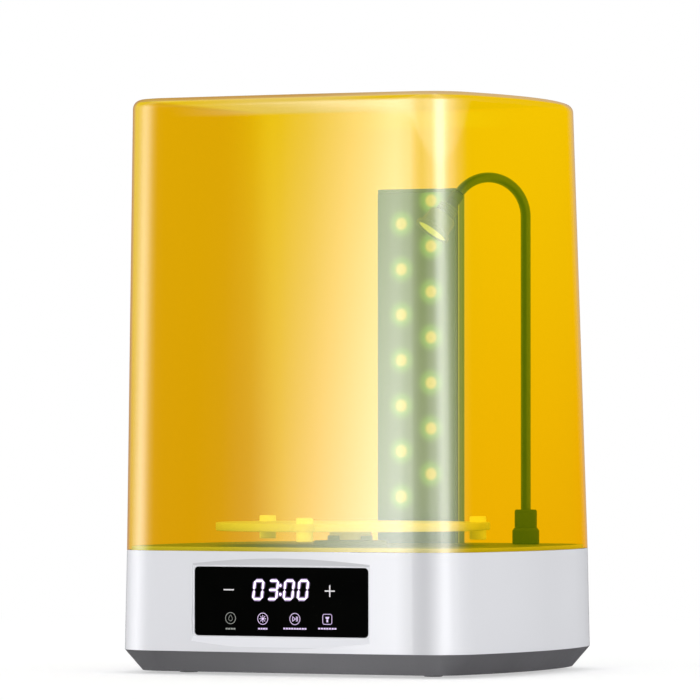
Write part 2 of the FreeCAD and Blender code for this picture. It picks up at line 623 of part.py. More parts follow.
def drive_hub():
    hub = cyl(HUB_R, 0, SPINDLE_Y, HUB_Z0, HUB_Z1)
    hub = hub.cut(cyl(SHAFT_R + 0.02, 0, SPINDLE_Y, 90, 110))
    # outer top edge only, not the bore
    hub = hub.makeChamfer(0.5, [e for e in edges_above(hub, HUB_Z1 - 1e-3)
                                if e.BoundBox.XLength > 30])
    for slot in drive_boxes(HUB_R - 4.5, HUB_R + 5, 8.5, HUB_Z0 - 1, HUB_Z1 + 1):
        hub = hub.cut(slot)
    return drill(hub, HUB_MAGNETS, 4.05, HUB_Z0 - 1, HUB_Z0 + 2.6).removeSplitter()


def turntable_disc():
    """Disc with a lug round each post hole and countersunk screw holes."""
    disc = fused([cyl(DISC_R, 0, SPINDLE_Y, DISC_Z0, DISC_TOP)]
                 + [cyl(LUG_R, x, y, DISC_Z0, DISC_TOP) for x, y in POSTS])
    disc = disc.cut(cyl(SHAFT_R + 0.1, 0, SPINDLE_Y, 100, 120))
    disc = drill(disc, POSTS, POST_R + 0.02, 100, 120)
    for x, y in NECK_SCREWS:
        disc = disc.cut(cyl(1.4, x, y, 100, 115))
        disc = disc.cut(Part.makeCone(1.4, 2.75, 1.5, Vector(x, y, DISC_TOP - 1.5),
                                      Vector(0, 0, 1)))
    return disc


def platter_neck():
    """Neck under the disc with two keys that drop into the hub slots."""
    neck = cyl(NECK_R, 0, SPINDLE_Y, HUB_Z1 + 0.1, DISC_Z0)
    for key in drive_boxes(HUB_R - 4.1, HUB_R - 0.6, 8.1, HUB_Z0 + 0.4, HUB_Z1 + 1.0):
        neck = neck.fuse(key.common(cyl(NECK_R, 0, SPINDLE_Y, 90, 110)))
    neck = neck.cut(cyl(SHAFT_R + 0.1, 0, SPINDLE_Y, 90, 120))
    return drill(neck, NECK_SCREWS, 1.28, 100, 107).removeSplitter()


def platter_screw(x, y):
    """Countersunk screw with a round socket."""
    screw = cyl(1.22, x, y, 102.4, DISC_TOP - 0.1)
    screw = screw.fuse(Part.makeCone(1.22, 2.55, 1.35, Vector(x, y, DISC_TOP - 1.45),
                                     Vector(0, 0, 1)))
    return screw.cut(cyl(0.9, x, y, DISC_TOP - 1.0, 120)).removeSplitter()


def rim_post(x, y):
    post = cyl(POST_R, x, y, POST_Z0, POST_Z1)
    return post.makeFillet(1.1, [e for e in post.Edges if e.BoundBox.ZLength < 1e-6])


save("turntable_pedestal", turntable_pedestal())
save("spindle_bush", ring(6.0, SHAFT_R + 0.05, 0, SPINDLE_Y, 89.4, 95.3))
save("shaft_seal", ring(8.0, SHAFT_R + 0.08, 0, SPINDLE_Y, 95.5, 97.9))
save("gear_motor", gear_motor())
save("motor_bracket", motor_bracket())
save("motor_screws", pan_screws(MOTOR_SCREWS, MOTOR_TOP + 2.0, 7.5, up=False))
save("bracket_screws", pan_screws(BRACKET_SCREWS, Z_HOOD - 2.0, 3.9))
save("output_shaft", output_shaft())
save("drive_hub", drive_hub())
save("hub_magnets", [cyl(4.0, x, y, HUB_Z0, HUB_Z0 + 2.5) for x, y in HUB_MAGNETS])
save("turntable_disc", turntable_disc())
save("platter_neck", platter_neck())
save("platter_screws", [platter_screw(x, y) for x, y in NECK_SCREWS])
save("rim_posts", [rim_post(x, y) for x, y in POSTS])


# ---------------------------------------------------------------- lamp tower
def tower_housing():
    depth = TOWER_D - WINDOW_T - 0.3
    tower = rounded_xy(TOWER_W, depth, 2.0, TOWER_X, TOWER_Y1 - depth / 2.0, Z_DECK, CAP_Z)
    tower = tower.cut(box(TOWER_X0 + 2.5, TOWER_X1 - 2.5, TOWER_Y0, TOWER_Y1 - 2.2,
                          Z_DECK + 4.0, CAP_Z + 1))
    tower = tower.cut(cyl(TOWER_LEAD_R, TOWER_X, TOWER_MID_Y, Z_DECK - 1, Z_DECK + 6))
    tower = drill(tower, TOWER_SCREWS, PILOT_R, Z_DECK - 1, Z_DECK + 5)
    # rails that hold the LED board
    for x in (TOWER_X0 + 4.0, TOWER_X1 - 4.0):
        tower = tower.fuse(box(x - 1.6, x + 1.6, TOWER_Y0 + 9.4, TOWER_Y1 - 2.0,
                               Z_DECK + 3.0, CAP_Z - 1.0))
    return tower.removeSplitter()


def tower_cap():
    """Cap with a spigot that drops into the tower."""
    cap = rounded_xy(TOWER_W + 0.6, TOWER_D + 0.6, 2.3, TOWER_X, TOWER_Y0 + TOWER_D / 2.0,
                     CAP_Z, TOWER_TOP)
    cap = cap.makeFillet(1.0, edges_above(cap, TOWER_TOP - 1e-3))
    spigot_y = (TOWER_Y0 + WINDOW_T + 0.6 + TOWER_Y1 - 2.4) / 2.0
    spigot = rounded_xy(TOWER_W - 5.6, TOWER_D - WINDOW_T - 3.4, 1.0, TOWER_X, spigot_y,
                        CAP_Z - 0.9, CAP_Z + 0.5)
    return cap.fuse(spigot).removeSplitter()


def tower_led(x, z):
    """Square chip with a dome on its front."""
    dome_y = LED_BOARD_Y - 0.9
    chip = box(x - 2.5, x + 2.5, LED_BOARD_Y - 1.0, LED_BOARD_Y, z - 2.5, z + 2.5)
    dome = Part.makeSphere(1.9, Vector(x, dome_y, z)).common(
        box(x - 3, x + 3, LED_BOARD_Y - 4, dome_y, z - 3, z + 3))
    return chip.fuse(dome).removeSplitter()


# right column, then the left one half a pitch lower
TOWER_LEDS = [(TOWER_X + dx, top_z - LED_PITCH * i)
              for dx, top_z in ((LED_DX, LED_TOP_Z), (-LED_DX, LED_TOP_Z - LED_PITCH / 2.0))
              for i in range(LEDS_PER_COLUMN)]

save("tower_housing", tower_housing())
save("tower_window", rounded_xy(TOWER_W, WINDOW_T, 0.8, TOWER_X, TOWER_Y0 + WINDOW_T / 2.0,
                                Z_DECK, CAP_Z))
save("tower_cap", tower_cap())
save("tower_led_board", box(TOWER_X - 30.5, TOWER_X + 30.5, LED_BOARD_Y, LED_BOARD_Y + BOARD_T,
                            Z_DECK + 14, CAP_Z - 3))
save("tower_leds", [tower_led(x, z) for x, z in TOWER_LEDS])


# ---------------------------------------------------------------- lamp socket and plug
def lamp_socket():
    socket = fused([cyl(10.8, PLUG_X, PLUG_Y, Z_HOOD - 2.0, Z_DECK),
                    cyl(8.0, PLUG_X, PLUG_Y, 76.0, Z_HOOD)])
    socket = socket.fuse(ring(14.0, 7.0, PLUG_X, PLUG_Y, Z_HOOD - 2.0, Z_HOOD))
    return socket.cut(cyl(3.1, PLUG_X, PLUG_Y, 78.5, 100.0)).removeSplitter()


def lamp_plug_pin():
    """Round-nosed pin with a groove."""
    pin = cyl(3.0, PLUG_X, PLUG_Y, 80.5, PLUG_Z)
    pin = pin.makeFillet(1.4, [e for e in pin.Edges if e.BoundBox.ZMax < 81])
    return pin.cut(ring(4, 2.7, PLUG_X, PLUG_Y, 86.0, 86.8))


PLUG_PROFILE = [(0.0, 0.0), (9.4, 0.0), (10.5, 1.0), (10.5, 10.6),
                (8.75, 13.0), (4.2, 13.0), (4.2, 7.0), (0.0, 7.0)]      # radius, height
SWIVEL_PROFILE = [(0.0, -5.9), (4.1, -5.9), (4.1, 0.0), (8.7, 0.0), (8.7, 13.0), (7.8, 13.9),
                  (TUBE_R + 0.02, 13.9), (TUBE_R + 0.02, 2.0), (0.0, 2.0)]

save("lamp_socket", lamp_socket())
save("lamp_socket_nut", hexagon(22.0, PLUG_X, PLUG_Y, 85.4, 89.3)
     .cut(cyl(8.05, PLUG_X, PLUG_Y, 80, 95)))
save("lamp_plug", revolve(PLUG_PROFILE, Vector(PLUG_X, PLUG_Y, PLUG_Z)))
save("lamp_plug_pin", lamp_plug_pin())
save("lamp_swivel_collar", revolve(SWIVEL_PROFILE, Vector(PLUG_X, PLUG_Y, SWIVEL_Z)))

# ---------------------------------------------------------------- gooseneck
ARM_X, ARM_Y = [part / math.hypot(*ARM_DIR) for part in ARM_DIR]


def arm_point(reach, z):
    return Vector(PLUG_X + ARM_X * reach, PLUG_Y + ARM_Y * reach, z)


def bend_point(degrees):
    t = math.radians(degrees)
    return arm_point(BEND_R * (1 - math.cos(t)), BEND_Z + BEND_R * math.sin(t))


def bend_arc(start, end):
    return Part.Arc(bend_point(start), bend_point((start + end) / 2.0),
                    bend_point(end)).toShape()


def gooseneck_stem():
    z0 = SWIVEL_Z + 2.1
    stem = cyl(TUBE_R, PLUG_X, PLUG_Y, z0, STRAIGHT_GAP_Z - HALF_GAP)
    return stem.cut(cyl(TUBE_BORE_R, PLUG_X, PLUG_Y, SWIVEL_Z, SWIVEL_Z + 400))


def bent_tube(path_edges):
    path = Part.Wire(path_edges)
    first = path_edges[0]
    start = first.valueAt(first.FirstParameter)
    direction = first.tangentAt(first.FirstParameter)
    outer, bore = [
        path.makePipeShell([Part.Wire([Part.Circle(start, direction, radius).toShape()])],
                           True, True)
        for radius in (TUBE_R, TUBE_BORE_R)]
    return outer.cut(bore)


save("gooseneck_stem", gooseneck_stem())
save("gooseneck_lower_bend", bent_tube([
    Part.LineSegment(arm_point(0, STRAIGHT_GAP_Z + HALF_GAP), arm_point(0, BEND_Z)).toShape(),
    bend_arc(0.0, BEND_GAP_DEG - HALF_GAP_DEG)]))
save("gooseneck_upper_bend", bent_tube([
    bend_arc(BEND_GAP_DEG + HALF_GAP_DEG, BEND_END - HALF_GAP_DEG)]))

# ---------------------------------------------------------------- lamp head
# Profiles are (radius, distance along the head axis from the end of the bend).
END_ANGLE = math.radians(BEND_END)
HEAD_START = bend_point(BEND_END)
HEAD_AXIS = Vector(ARM_X * math.sin(END_ANGLE), ARM_Y * math.sin(END_ANGLE),
                   math.cos(END_ANGLE))
RIBS_START, RIB_PITCH, RIB_COUNT = 14.2, 1.8, 4
COLLAR_END = RIBS_START + RIB_PITCH * RIB_COUNT + 0.3
BELL_START = COLLAR_END + 0.1


def collar_profile():
    profile = [(TUBE_BORE_R, 13.6), (7.2, 13.6), (8.2, RIBS_START)]
    for i in range(RIB_COUNT):
        rib = RIBS_START + RIB_PITCH * i
        profile += [(8.2, rib + 0.9), (7.5, rib + 1.1), (7.5, rib + 1.6), (8.2, rib + RIB_PITCH)]
    return profile + [(8.2, COLLAR_END), (TUBE_BORE_R, COLLAR_END)]


HEAD_PROFILES = {
    "lamp_sleeve": [(TUBE_BORE_R, 1.3), (4.9, 1.3), (5.1, 2.0), (5.1, 13.5),
                    (TUBE_BORE_R, 13.5)],
    "lamp_collar": collar_profile(),
    "lamp_bell": [(3.0, BELL_START), (9.6, BELL_START), (11.2, BELL_START + 1.6),
                  (12.2, HEAD_LEN - 4.6), (14.3, HEAD_LEN - 3.2), (14.6, HEAD_LEN - 0.6),
                  (14.2, HEAD_LEN), (12.6, HEAD_LEN), (12.6, HEAD_LEN - 3.4),
                  (10.4, HEAD_LEN - 3.8), (9.6, BELL_START + 3.4), (3.0, BELL_START + 3.4)],
    "lamp_lens": [(0, HEAD_LEN - 2.9), (12.5, HEAD_LEN - 2.9), (12.5, HEAD_LEN - 1.2),
                  (11.4, HEAD_LEN - 0.9), (6.0, HEAD_LEN - 0.4), (0, HEAD_LEN - 0.3)],
    "lamp_led_board": [(0, BELL_START + 3.6), (9.2, BELL_START + 3.6),
                       (9.2, BELL_START + 5.2), (0, BELL_START + 5.2)],
    "lamp_led": [(0, BELL_START + 5.3), (3.4, BELL_START + 5.3), (3.4, BELL_START + 6.1),
                 (2.4, BELL_START + 7.3), (0, BELL_START + 7.9)],
}
for piece, head_profile in HEAD_PROFILES.items():
    save(piece, revolve(head_profile, HEAD_START, HEAD_AXIS))


# ---------------------------------------------------------------- hood
def hood_shell():
    outer = skin(Z_HOOD, 0.0, OVERALL_H, 0.0)
    outer = outer.makeFillet(7.0, edges_above(outer, OVERALL_H - 1e-3))
    ceiling = OVERALL_H - HOOD_WALL
    inner = skin(Z_HOOD, HOOD_WALL, ceiling, HOOD_WALL)
    inner = inner.makeFillet(4.0, edges_above(inner, ceiling - 1e-3))
    hood = outer.cut(inner)
    # small pocket for the interlock magnet, low on the rear wall
    pocket = box(MAGNET_X - 6, MAGNET_X + 6, 125.0, 134.5, MAGNET_Z - 4.5, MAGNET_Z + 4.5)
    hood = hood.fuse(pocket.common(skin(Z_HOOD + 1, 1.5, 130.0, 1.5)))
    return hood.cut(cyl_y(3.05, MAGNET_X, MAGNET_Z, 120.0, 128.6)).removeSplitter()


def hood_sensor_board():
    """Board under the deck with its sensor, in line with the magnet."""
    top = Z_HOOD - 2.6
    board = box(MAGNET_X - 9, MAGNET_X + 9, 108.0, 120.0, top - BOARD_T, top)
    sensor = box(MAGNET_X - 2, MAGNET_X + 2, 116.0, 119.0, top, Z_HOOD - 0.1)
    return board.fuse(sensor).removeSplitter()


save("hood_shell", hood_shell())
save("hood_magnet", cyl_y(3.0, MAGNET_X, MAGNET_Z, 125.4, 128.4))
save("hood_sensor_board", hood_sensor_board())

# ---------------------------------------------------------------- leads
FRONT_END_Y = PCB_Y0 + 1.8      # where leads meet the front blocks of the main board
REAR_END_Y = PCB_Y1 - 0.9       # where leads meet the rear blocks
SWITCH_LEAD_X = SWITCH_X - SWITCH_TAB_X

# name: (radius, points x, y, z)
LEADS = {
    "motor_cable": (1.6, [
        (MOTOR_TAB_X, SPINDLE_Y, 20.5), (MOTOR_TAB_X, SPINDLE_Y, 17.5), (-20, 8, 17.5),
        (-53, 8, 17.5), (-53, FRONT_END_Y, 17.5)]),
    "panel_cable": (1.9, [
        (-60, CONTROL_Y + 3.4, 45), (-60, -124, 45), (-82, -118, 26),
        (-82, 12, 17.0), (-82, FRONT_END_Y, 17.0)]),
    "power_cable": (1.8, [
        (JACK_X, 111.8, INLET_Z), (JACK_X, 106, INLET_Z), (JACK_X - 9, 101, 18),
        (JACK_X - 9, REAR_END_Y, 18)]),
    "switch_cable": (1.4, [
        (SWITCH_LEAD_X, 109.8, INLET_Z), (SWITCH_LEAD_X, 104, INLET_Z),
        (SWITCH_LEAD_X, 102, 17.4), (SWITCH_LEAD_X, REAR_END_Y, 17.4)]),
    "tower_cable": (1.8, [
        (TOWER_X, TOWER_Y0 + 11.3, Z_DECK + 16), (TOWER_X, TOWER_Y0 + 11.3, Z_DECK + 8),
        (TOWER_X, TOWER_MID_Y, Z_DECK + 4), (TOWER_X, TOWER_MID_Y, 84),
        (-22, 102, 30), (-47, 101, 17.2), (-47, REAR_END_Y, 17.2)]),
    "lamp_cable": (1.5, [
        (PLUG_X, PLUG_Y, 75.8), (PLUG_X, PLUG_Y, 70), (60, 112, 40), (-70, 112, 28),
        (-82, 104, 17.2), (-82, REAR_END_Y, 17.2)]),
}
for piece, (lead_r, route) in LEADS.items():
    save(piece, cable(route, lead_r))
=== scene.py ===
# Wash-and-cure station: white base with a control panel in front, amber hood, turntable,
# LED tower and a gooseneck lamp.
# Metres, +Z up. The front faces -Y, the right side +X, and the feet stand on z = 0.
import math

import bmesh
import bpy
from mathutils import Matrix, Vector

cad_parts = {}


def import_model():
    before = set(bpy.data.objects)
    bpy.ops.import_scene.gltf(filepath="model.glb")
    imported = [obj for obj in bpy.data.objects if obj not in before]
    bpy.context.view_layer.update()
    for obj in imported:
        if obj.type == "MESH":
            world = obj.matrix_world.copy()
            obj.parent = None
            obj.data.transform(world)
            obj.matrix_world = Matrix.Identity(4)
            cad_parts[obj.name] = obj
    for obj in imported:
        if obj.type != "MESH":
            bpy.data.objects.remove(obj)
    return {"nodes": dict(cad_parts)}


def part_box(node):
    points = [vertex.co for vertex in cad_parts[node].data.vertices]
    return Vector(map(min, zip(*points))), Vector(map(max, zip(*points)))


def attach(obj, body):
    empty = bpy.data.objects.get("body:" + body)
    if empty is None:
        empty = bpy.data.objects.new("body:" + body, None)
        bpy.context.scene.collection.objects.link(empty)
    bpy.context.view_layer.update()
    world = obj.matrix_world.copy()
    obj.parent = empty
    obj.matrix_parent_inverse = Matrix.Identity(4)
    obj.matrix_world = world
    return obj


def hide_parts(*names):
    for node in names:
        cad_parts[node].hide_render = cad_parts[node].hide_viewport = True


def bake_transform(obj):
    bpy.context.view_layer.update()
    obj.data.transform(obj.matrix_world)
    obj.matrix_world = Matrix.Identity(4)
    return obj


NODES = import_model()["nodes"]
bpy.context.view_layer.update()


# ---------------------------------------------------------------- camera
VIEW_TURN = math.radians(26.0)              # camera stands this far round from the front to the right
CAMERA_DISTANCE = 4.732
CAMERA_HEIGHT = 0.180
CAMERA_SHIFT = 0.0071                       # sideways, to the camera's left
CAMERA_PITCH = math.radians(0.8322915)      # looks slightly upwards
CAMERA_LENS = 313.302857                    # mm, on a 36 mm sensor

view_right = Vector((math.cos(VIEW_TURN), math.sin(VIEW_TURN), 0))
view_forward = Vector((-math.sin(VIEW_TURN), math.cos(VIEW_TURN), 0))
camera_place = (-view_right * CAMERA_SHIFT - view_forward * CAMERA_DISTANCE
                + Vector((0, 0, CAMERA_HEIGHT)))


def build_camera():
    data = bpy.data.cameras.new("camera")
    data.sensor_width = 36.0
    data.lens = CAMERA_LENS
    data.clip_start = 0.05
    data.clip_end = 200.0
    camera = bpy.data.objects.new("camera", data)
    bpy.context.scene.collection.objects.link(camera)
    camera.location = camera_place
    sight = view_forward * math.cos(CAMERA_PITCH) + Vector((0, 0, math.sin(CAMERA_PITCH)))
    camera.rotation_euler = sight.to_track_quat("-Z", "Y").to_euler()
    bpy.context.scene.camera = camera


build_camera()


# ---------------------------------------------------------------- sizes read from the CAD pieces
base_low, base_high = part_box("base_housing")
hood_low, hood_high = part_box("hood_shell")
magnet_low, magnet_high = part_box("hood_magnet")
disc_low, disc_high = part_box("turntable_disc")
posts_low, posts_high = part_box("rim_posts")
shaft_low, shaft_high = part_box("output_shaft")
window_low, window_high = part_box("tower_window")
cap_low, cap_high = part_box("tower_cap")
leds_low, leds_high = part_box("tower_leds")
plug_low, plug_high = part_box("lamp_plug")
swivel_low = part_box("lamp_swivel_collar")[0]

HOOD_FOOT = hood_low.z
HOOD_TOP = hood_high.z
TOWER_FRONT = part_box("tower_housing")[0].y
FILM_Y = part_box("control_lens")[0].y        # front face of the control panel film

# LED columns of the tower, staggered by half a pitch
LED_PITCH = 0.036
LED_HALF = 0.0025
LED_LEFT_X = leds_low.x + LED_HALF
LED_RIGHT_X = leds_high.x - LED_HALF
LED_RIGHT_TOP = leds_high.z - LED_HALF
LED_LEFT_TOP = LED_RIGHT_TOP - LED_PITCH / 2


# ---------------------------------------------------------------- shader graph helper
class ShaderGraph:
    """A node tree under construction. Inputs take either a value or an output socket."""

    def __init__(self, owner, output="OutputMaterial"):
        owner.use_nodes = True
        self.owner = owner
        self.tree = owner.node_tree
        self.tree.nodes.clear()
        self.output = self.node(output)

    def feed(self, socket, value):
        if isinstance(value, bpy.types.NodeSocket):
            self.tree.links.new(value, socket)
            return
        if socket.type == "RGBA":
            value = (*value, 1.0)
        socket.default_value = value

    def node(self, kind, inputs=None, **settings):
        node = self.tree.nodes.new("ShaderNode" + kind)
        for key, value in settings.items():
            setattr(node, key, value)
        for key, value in (inputs or {}).items():
            self.feed(node.inputs[key], value)
        return node

    def shader(self, kind, inputs):
        return self.node(kind, inputs).outputs[0]

    def join(self, a, b):
        return self.shader("AddShader", {0: a, 1: b})

    def blend(self, factor, a, b):
        return self.shader("MixShader", {0: factor, 1: a, 2: b})

    def end(self, surface):
        self.feed(self.output.inputs["Surface"], surface)
        return self.owner

    def principled(self, inputs):
        return self.end(self.shader("BsdfPrincipled", inputs))

    def math(self, operation, *values):
        return self.node("Math", dict(enumerate(values)), operation=operation).outputs[0]

    def product(self, first, *others):
        for value in others:
            first = self.math("MULTIPLY", first, value)
        return first

    def mix(self, factor, a, b, blend_type="MIX", clamp=False):
        return self.node("Mix", {0: factor, 6: a, 7: b}, data_type="RGBA",
                         blend_type=blend_type, clamp_result=clamp).outputs[2]

    def multiply(self, factor, a, b, clamp=False):
        return self.mix(factor, a, b, "MULTIPLY", clamp)

    def remap(self, value, span, to=(0.0, 1.0), curve="LINEAR"):
        inputs = {"Value": value, "From Min": span[0], "From Max": span[1],
                  "To Min": to[0], "To Max": to[1]}
        return self.node("MapRange", inputs, interpolation_type=curve).outputs["Result"]

    def smooth(self, value, span, to=(0.0, 1.0)):
        return self.remap(value, span, to, "SMOOTHSTEP")

    def ramp(self, factor, stops, interpolation="LINEAR"):
        node = self.node("ValToRGB", {"Fac": factor})
        node.color_ramp.interpolation = interpolation
        elements = node.color_ramp.elements
        while len(elements) < len(stops):
            elements.new(0.5)
        for element, (position, color) in zip(elements, stops):
            element.position = position
            element.color = (*color, 1.0)
        return node.outputs["Color"]

    def two_tone(self, factor, low, high):
        return self.ramp(factor, [(0.3, low), (0.7, high)])

    def object_space(self):
        return self.node("TexCoord").outputs["Object"]

    def xyz(self, vector):
        return list(self.node("SeparateXYZ", {0: vector}).outputs)

    def position(self):
        return self.xyz(self.object_space())

    def normal(self):
        return self.node("NewGeometry").outputs["Normal"]

    def facing(self):
        """0 where the surface faces the viewer, 1 at its silhouette."""
        return self.node("LayerWeight", {"Blend": 0.5}).outputs["Facing"]

    def noise(self, scale, detail=4.0, roughness=0.55, stretch=None):
        vector = self.object_space()
        if stretch:
            vector = self.node("Mapping", {"Vector": vector, "Scale": stretch}).outputs[0]
        inputs = {"Vector": vector, "Scale": scale, "Detail": detail, "Roughness": roughness}
        return self.node("TexNoise", inputs).outputs["Fac"]

    def bump(self, height, strength, distance, normal=None):
        inputs = {"Strength": strength, "Distance": distance, "Height": height}
        if normal is not None:
            inputs["Normal"] = normal
        return self.node("Bump", inputs).outputs["Normal"]

    def bevel(self, radius):
        return self.node("Bevel", {"Radius": radius}, samples=4).outputs["Normal"]

    def edge_wear(self, radius):
        """A mask that rises on edges, and the bevelled normal it comes from."""
        bevelled = self.bevel(radius)
        dot = self.node("VectorMath", {0: bevelled, 1: self.normal()}, operation="DOT_PRODUCT")
        return self.remap(dot.outputs["Value"], (1.0, 0.75)), bevelled


def new_material(name):
    return ShaderGraph(bpy.data.materials.new(name))


def scaled(color, factor):
    return tuple(min(1.0, channel * factor) for channel in color)


# ---------------------------------------------------------------- general finishes
def plastic(name, base, roughness, specular, drift, grain, relief, worn_color, worn=0.25,
            edge=0.0006, specks=0.0, glow=0.0, painted_shading=None):
    """Moulded plastic.

    drift: slow change of the base colour, grain and relief: scale and height of the fine
    texture, worn: strength of the rubbed edges, edge: their radius, specks: strength of dark
    specks, glow: strength of a painted self-light that brightens the moulding though it holds
    no lamp, and the last argument: a function that paints shade and light into the colour.
    """
    g = new_material(name)
    color = g.two_tone(g.noise(6.0, detail=3.0), scaled(base, 1 - drift), scaled(base, 1 + drift))
    wear, bevelled = g.edge_wear(edge)
    color = g.mix(g.product(wear, worn), color, worn_color)
    if specks:
        speck = g.remap(g.noise(grain * 0.6, detail=1.0), (0.62, 0.75), to=(0.0, specks))
        color = g.mix(speck, color, scaled(base, 0.6))
    # painted shade and light from the shading function
    if painted_shading:
        color = painted_shading(g, color)
    smear = g.noise(22.0, detail=6.0, roughness=0.65)
    gloss = g.remap(smear, (0.3, 0.75), to=(roughness * 0.85, min(1.0, roughness * 1.2)))
    normal = g.bump(g.noise(grain, detail=2.0), strength=0.5, distance=relief, normal=bevelled)
    inputs = {"Base Color": color, "Roughness": gloss, "Normal": normal,
              "IOR": 1.49, "Specular IOR Level": specular}
    # painted self-light: the moulding emits a little white light though it holds no lamp
    if glow:
        inputs["Emission Color"] = (0.95, 0.97, 1.0)
        inputs["Emission Strength"] = glow
    return g.principled(inputs)


def metal(name, base, roughness, brush=(1.0, 1.0, 60.0)):
    """Brushed metal; brush is the stretch of the scratch texture along x, y and z."""
    g = new_material(name)
    patches = g.noise(14.0, detail=6.0, roughness=0.6)
    scratches = g.noise(260.0, detail=3.0, roughness=0.6, stretch=brush)
    gloss = g.remap(scratches, (0.25, 0.8), to=(roughness * 0.7, min(1.0, roughness * 1.4)))
    return g.principled({
        "Metallic": 1.0,
        "Base Color": g.ramp(patches, [(0.28, scaled(base, 0.82)), (0.6, base)]),
        "Roughness": gloss,
        "Normal": g.bump(scratches, strength=0.3, distance=0.00002, normal=g.bevel(0.0003)),
    })


def emitter(name, color, strength, scale=500.0):
    """Lit plastic with a glow that varies a little over its face."""
    g = new_material(name)
    variation = g.noise(scale, detail=2.0)
    return g.principled({
        "Emission Color": g.two_tone(variation, scaled(color, 0.9), color),
        "Emission Strength": strength,
        "Base Color": scaled(color, 0.4),
        "Roughness": g.remap(variation, (0.3, 0.7), to=(0.25, 0.35)),
    })


# ---------------------------------------------------------------- amber hood finish
TINT_TOP = (0.895, 0.664, 0.022)
TINT_MID = (0.878, 0.642, 0.024)
TINT_BOTTOM = (0.864, 0.600, 0.026)
# painted shade and light on the hood walls: the left flank darker, the right flank brighter with its
# colour shifted, the front left lighter
LEFT_PAINTED_SHADE = (0.850, 0.630, 0.4)
RIGHT_PAINTED_SHADING_LOW = (1.03, 0.868, 0.4)
RIGHT_PAINTED_SHADING_HIGH = (1.045, 0.990, 0.4)
FRONT_LEFT_PAINTED_LIGHT = (1.03, 1.18, 1.0)
ROOF_TINT = (0.93, 0.95, 0.9)
INDIRECT_TINT = (0.97, 0.96, 0.93)          # what shadow and diffuse rays see
PAINTED_WALL_GLOW = (0.058, 0.090, 0.0003)               # painted light: an even emitted glow over the walls
PAINTED_ROOF_REFLECTION = (0.010, 0.055, 0.095)                # painted reflection of the roof's underside: a bluish strip under the front roof edge
EDGE_LEFT = (0.56, 0.29, 0.12)
EDGE_RIGHT = (0.66, 0.46, 0.30)
SIDE_GLOSS = 0.25                           # share of the reflection kept on the flanks


def hood_tint_with_painted_shading(g, x, y, z):
    """Colour of the light that passes the wall, by place on the hood, with painted shade on the left
    flank, painted light on the right flank and painted light at the front left.
    """
    up = g.remap(z, (HOOD_FOOT, HOOD_TOP - 0.01))
    color = g.ramp(up, [(0.0, TINT_BOTTOM), (0.62, TINT_MID), (1.0, TINT_TOP)])
    # painted shade on the left flank
    color = g.multiply(g.smooth(x, (-0.128, -0.152)), color, LEFT_PAINTED_SHADE)
    # painted light on the right flank, shifted in colour with height
    right_painted_shading = g.ramp(up, [(0.0, RIGHT_PAINTED_SHADING_LOW), (1.0, RIGHT_PAINTED_SHADING_HIGH)])
    color = g.multiply(g.smooth(x, (0.120, 0.150)), color, right_painted_shading, clamp=True)
    # painted light at the front left
    front_left = g.product(g.smooth(x, (-0.106, -0.119)), g.remap(y, (-0.060, -0.085)))
    color = g.multiply(front_left, color, FRONT_LEFT_PAINTED_LIGHT, clamp=True)
    roof = g.remap(z, (HOOD_TOP - 0.0012, HOOD_TOP - 0.0002))
    color = g.multiply(roof, color, ROOF_TINT)
    variation = g.remap(g.noise(3.2, detail=3.0), (0.25, 0.75), to=(0.985, 1.0))
    color = g.multiply(1.0, color, variation)
    path = g.node("LightPath").outputs
    indirect = g.math("MAXIMUM", path["Is Shadow Ray"], path["Is Diffuse Ray"])
    return g.mix(indirect, color, INDIRECT_TINT)


def hood_painted_roof_reflection(g, x, z):
    """Painted reflection: a faint emitted strip on the front wall just under the roof."""
    geometry = g.node("NewGeometry").outputs
    incoming_z = g.xyz(geometry["Incoming"])[2]
    normal_y = g.xyz(geometry["Normal"])[1]
    # where the painted reflection shows
    strip = g.product(
        g.smooth(z, (HOOD_TOP - 0.0165, HOOD_TOP - 0.0130)),
        g.smooth(z, (HOOD_TOP - 0.0030, HOOD_TOP - 0.0014), to=(1.0, 0.0)),
        g.smooth(x, (-0.100, -0.008)),
        g.smooth(x, (0.030, 0.088), to=(1.0, 0.05)),
        g.smooth(normal_y, (-0.45, -0.75)),
        g.smooth(incoming_z, (-0.005, -0.040)),
    )
    return g.shader("Emission", {0: PAINTED_ROOF_REFLECTION, 1: strip})


def hood_edge(g, x, cosine):
    """Diffuse silhouette and roof fillet: its share and its shader."""
    color = g.mix(g.remap(x, (0.02, 0.10)), EDGE_LEFT, EDGE_RIGHT)
    diffuse = g.shader("BsdfDiffuse", {0: color})
    widened = g.product(cosine, g.remap(x, (0.02, 0.10), to=(1.0, 1.85)))
    silhouette = g.smooth(widened, (0.40, 0.14), to=(0.0, 0.9))
    geometry = g.node("NewGeometry").outputs
    normal_z = g.xyz(geometry["Normal"])[2]
    not_flat = g.remap(normal_z, (0.985, 0.998), to=(1.0, 0.0))
    fillet = g.product(g.remap(normal_z, (0.52, 0.70), to=(0.0, 0.74)), not_flat)
    share = g.math("MAXIMUM", g.product(silhouette, not_flat), fillet)
    front_face = g.math("SUBTRACT", 1.0, geometry["Backfacing"])
    return g.product(share, front_face), diffuse


def held_reflection(g, reflection, x):
    """Weakens the reflection on both flanks and on the roof."""
    right = g.smooth(x, (0.128, 0.152), to=(1.0, SIDE_GLOSS))
    normal_x, _, normal_z = g.xyz(g.normal())
    left = g.smooth(normal_x, (-0.90, -0.96), to=(1.0, SIDE_GLOSS))
    roof = g.remap(normal_z, (0.975, 0.995), to=(1.0, 0.16))
    return g.product(reflection, g.product(right, left, roof))


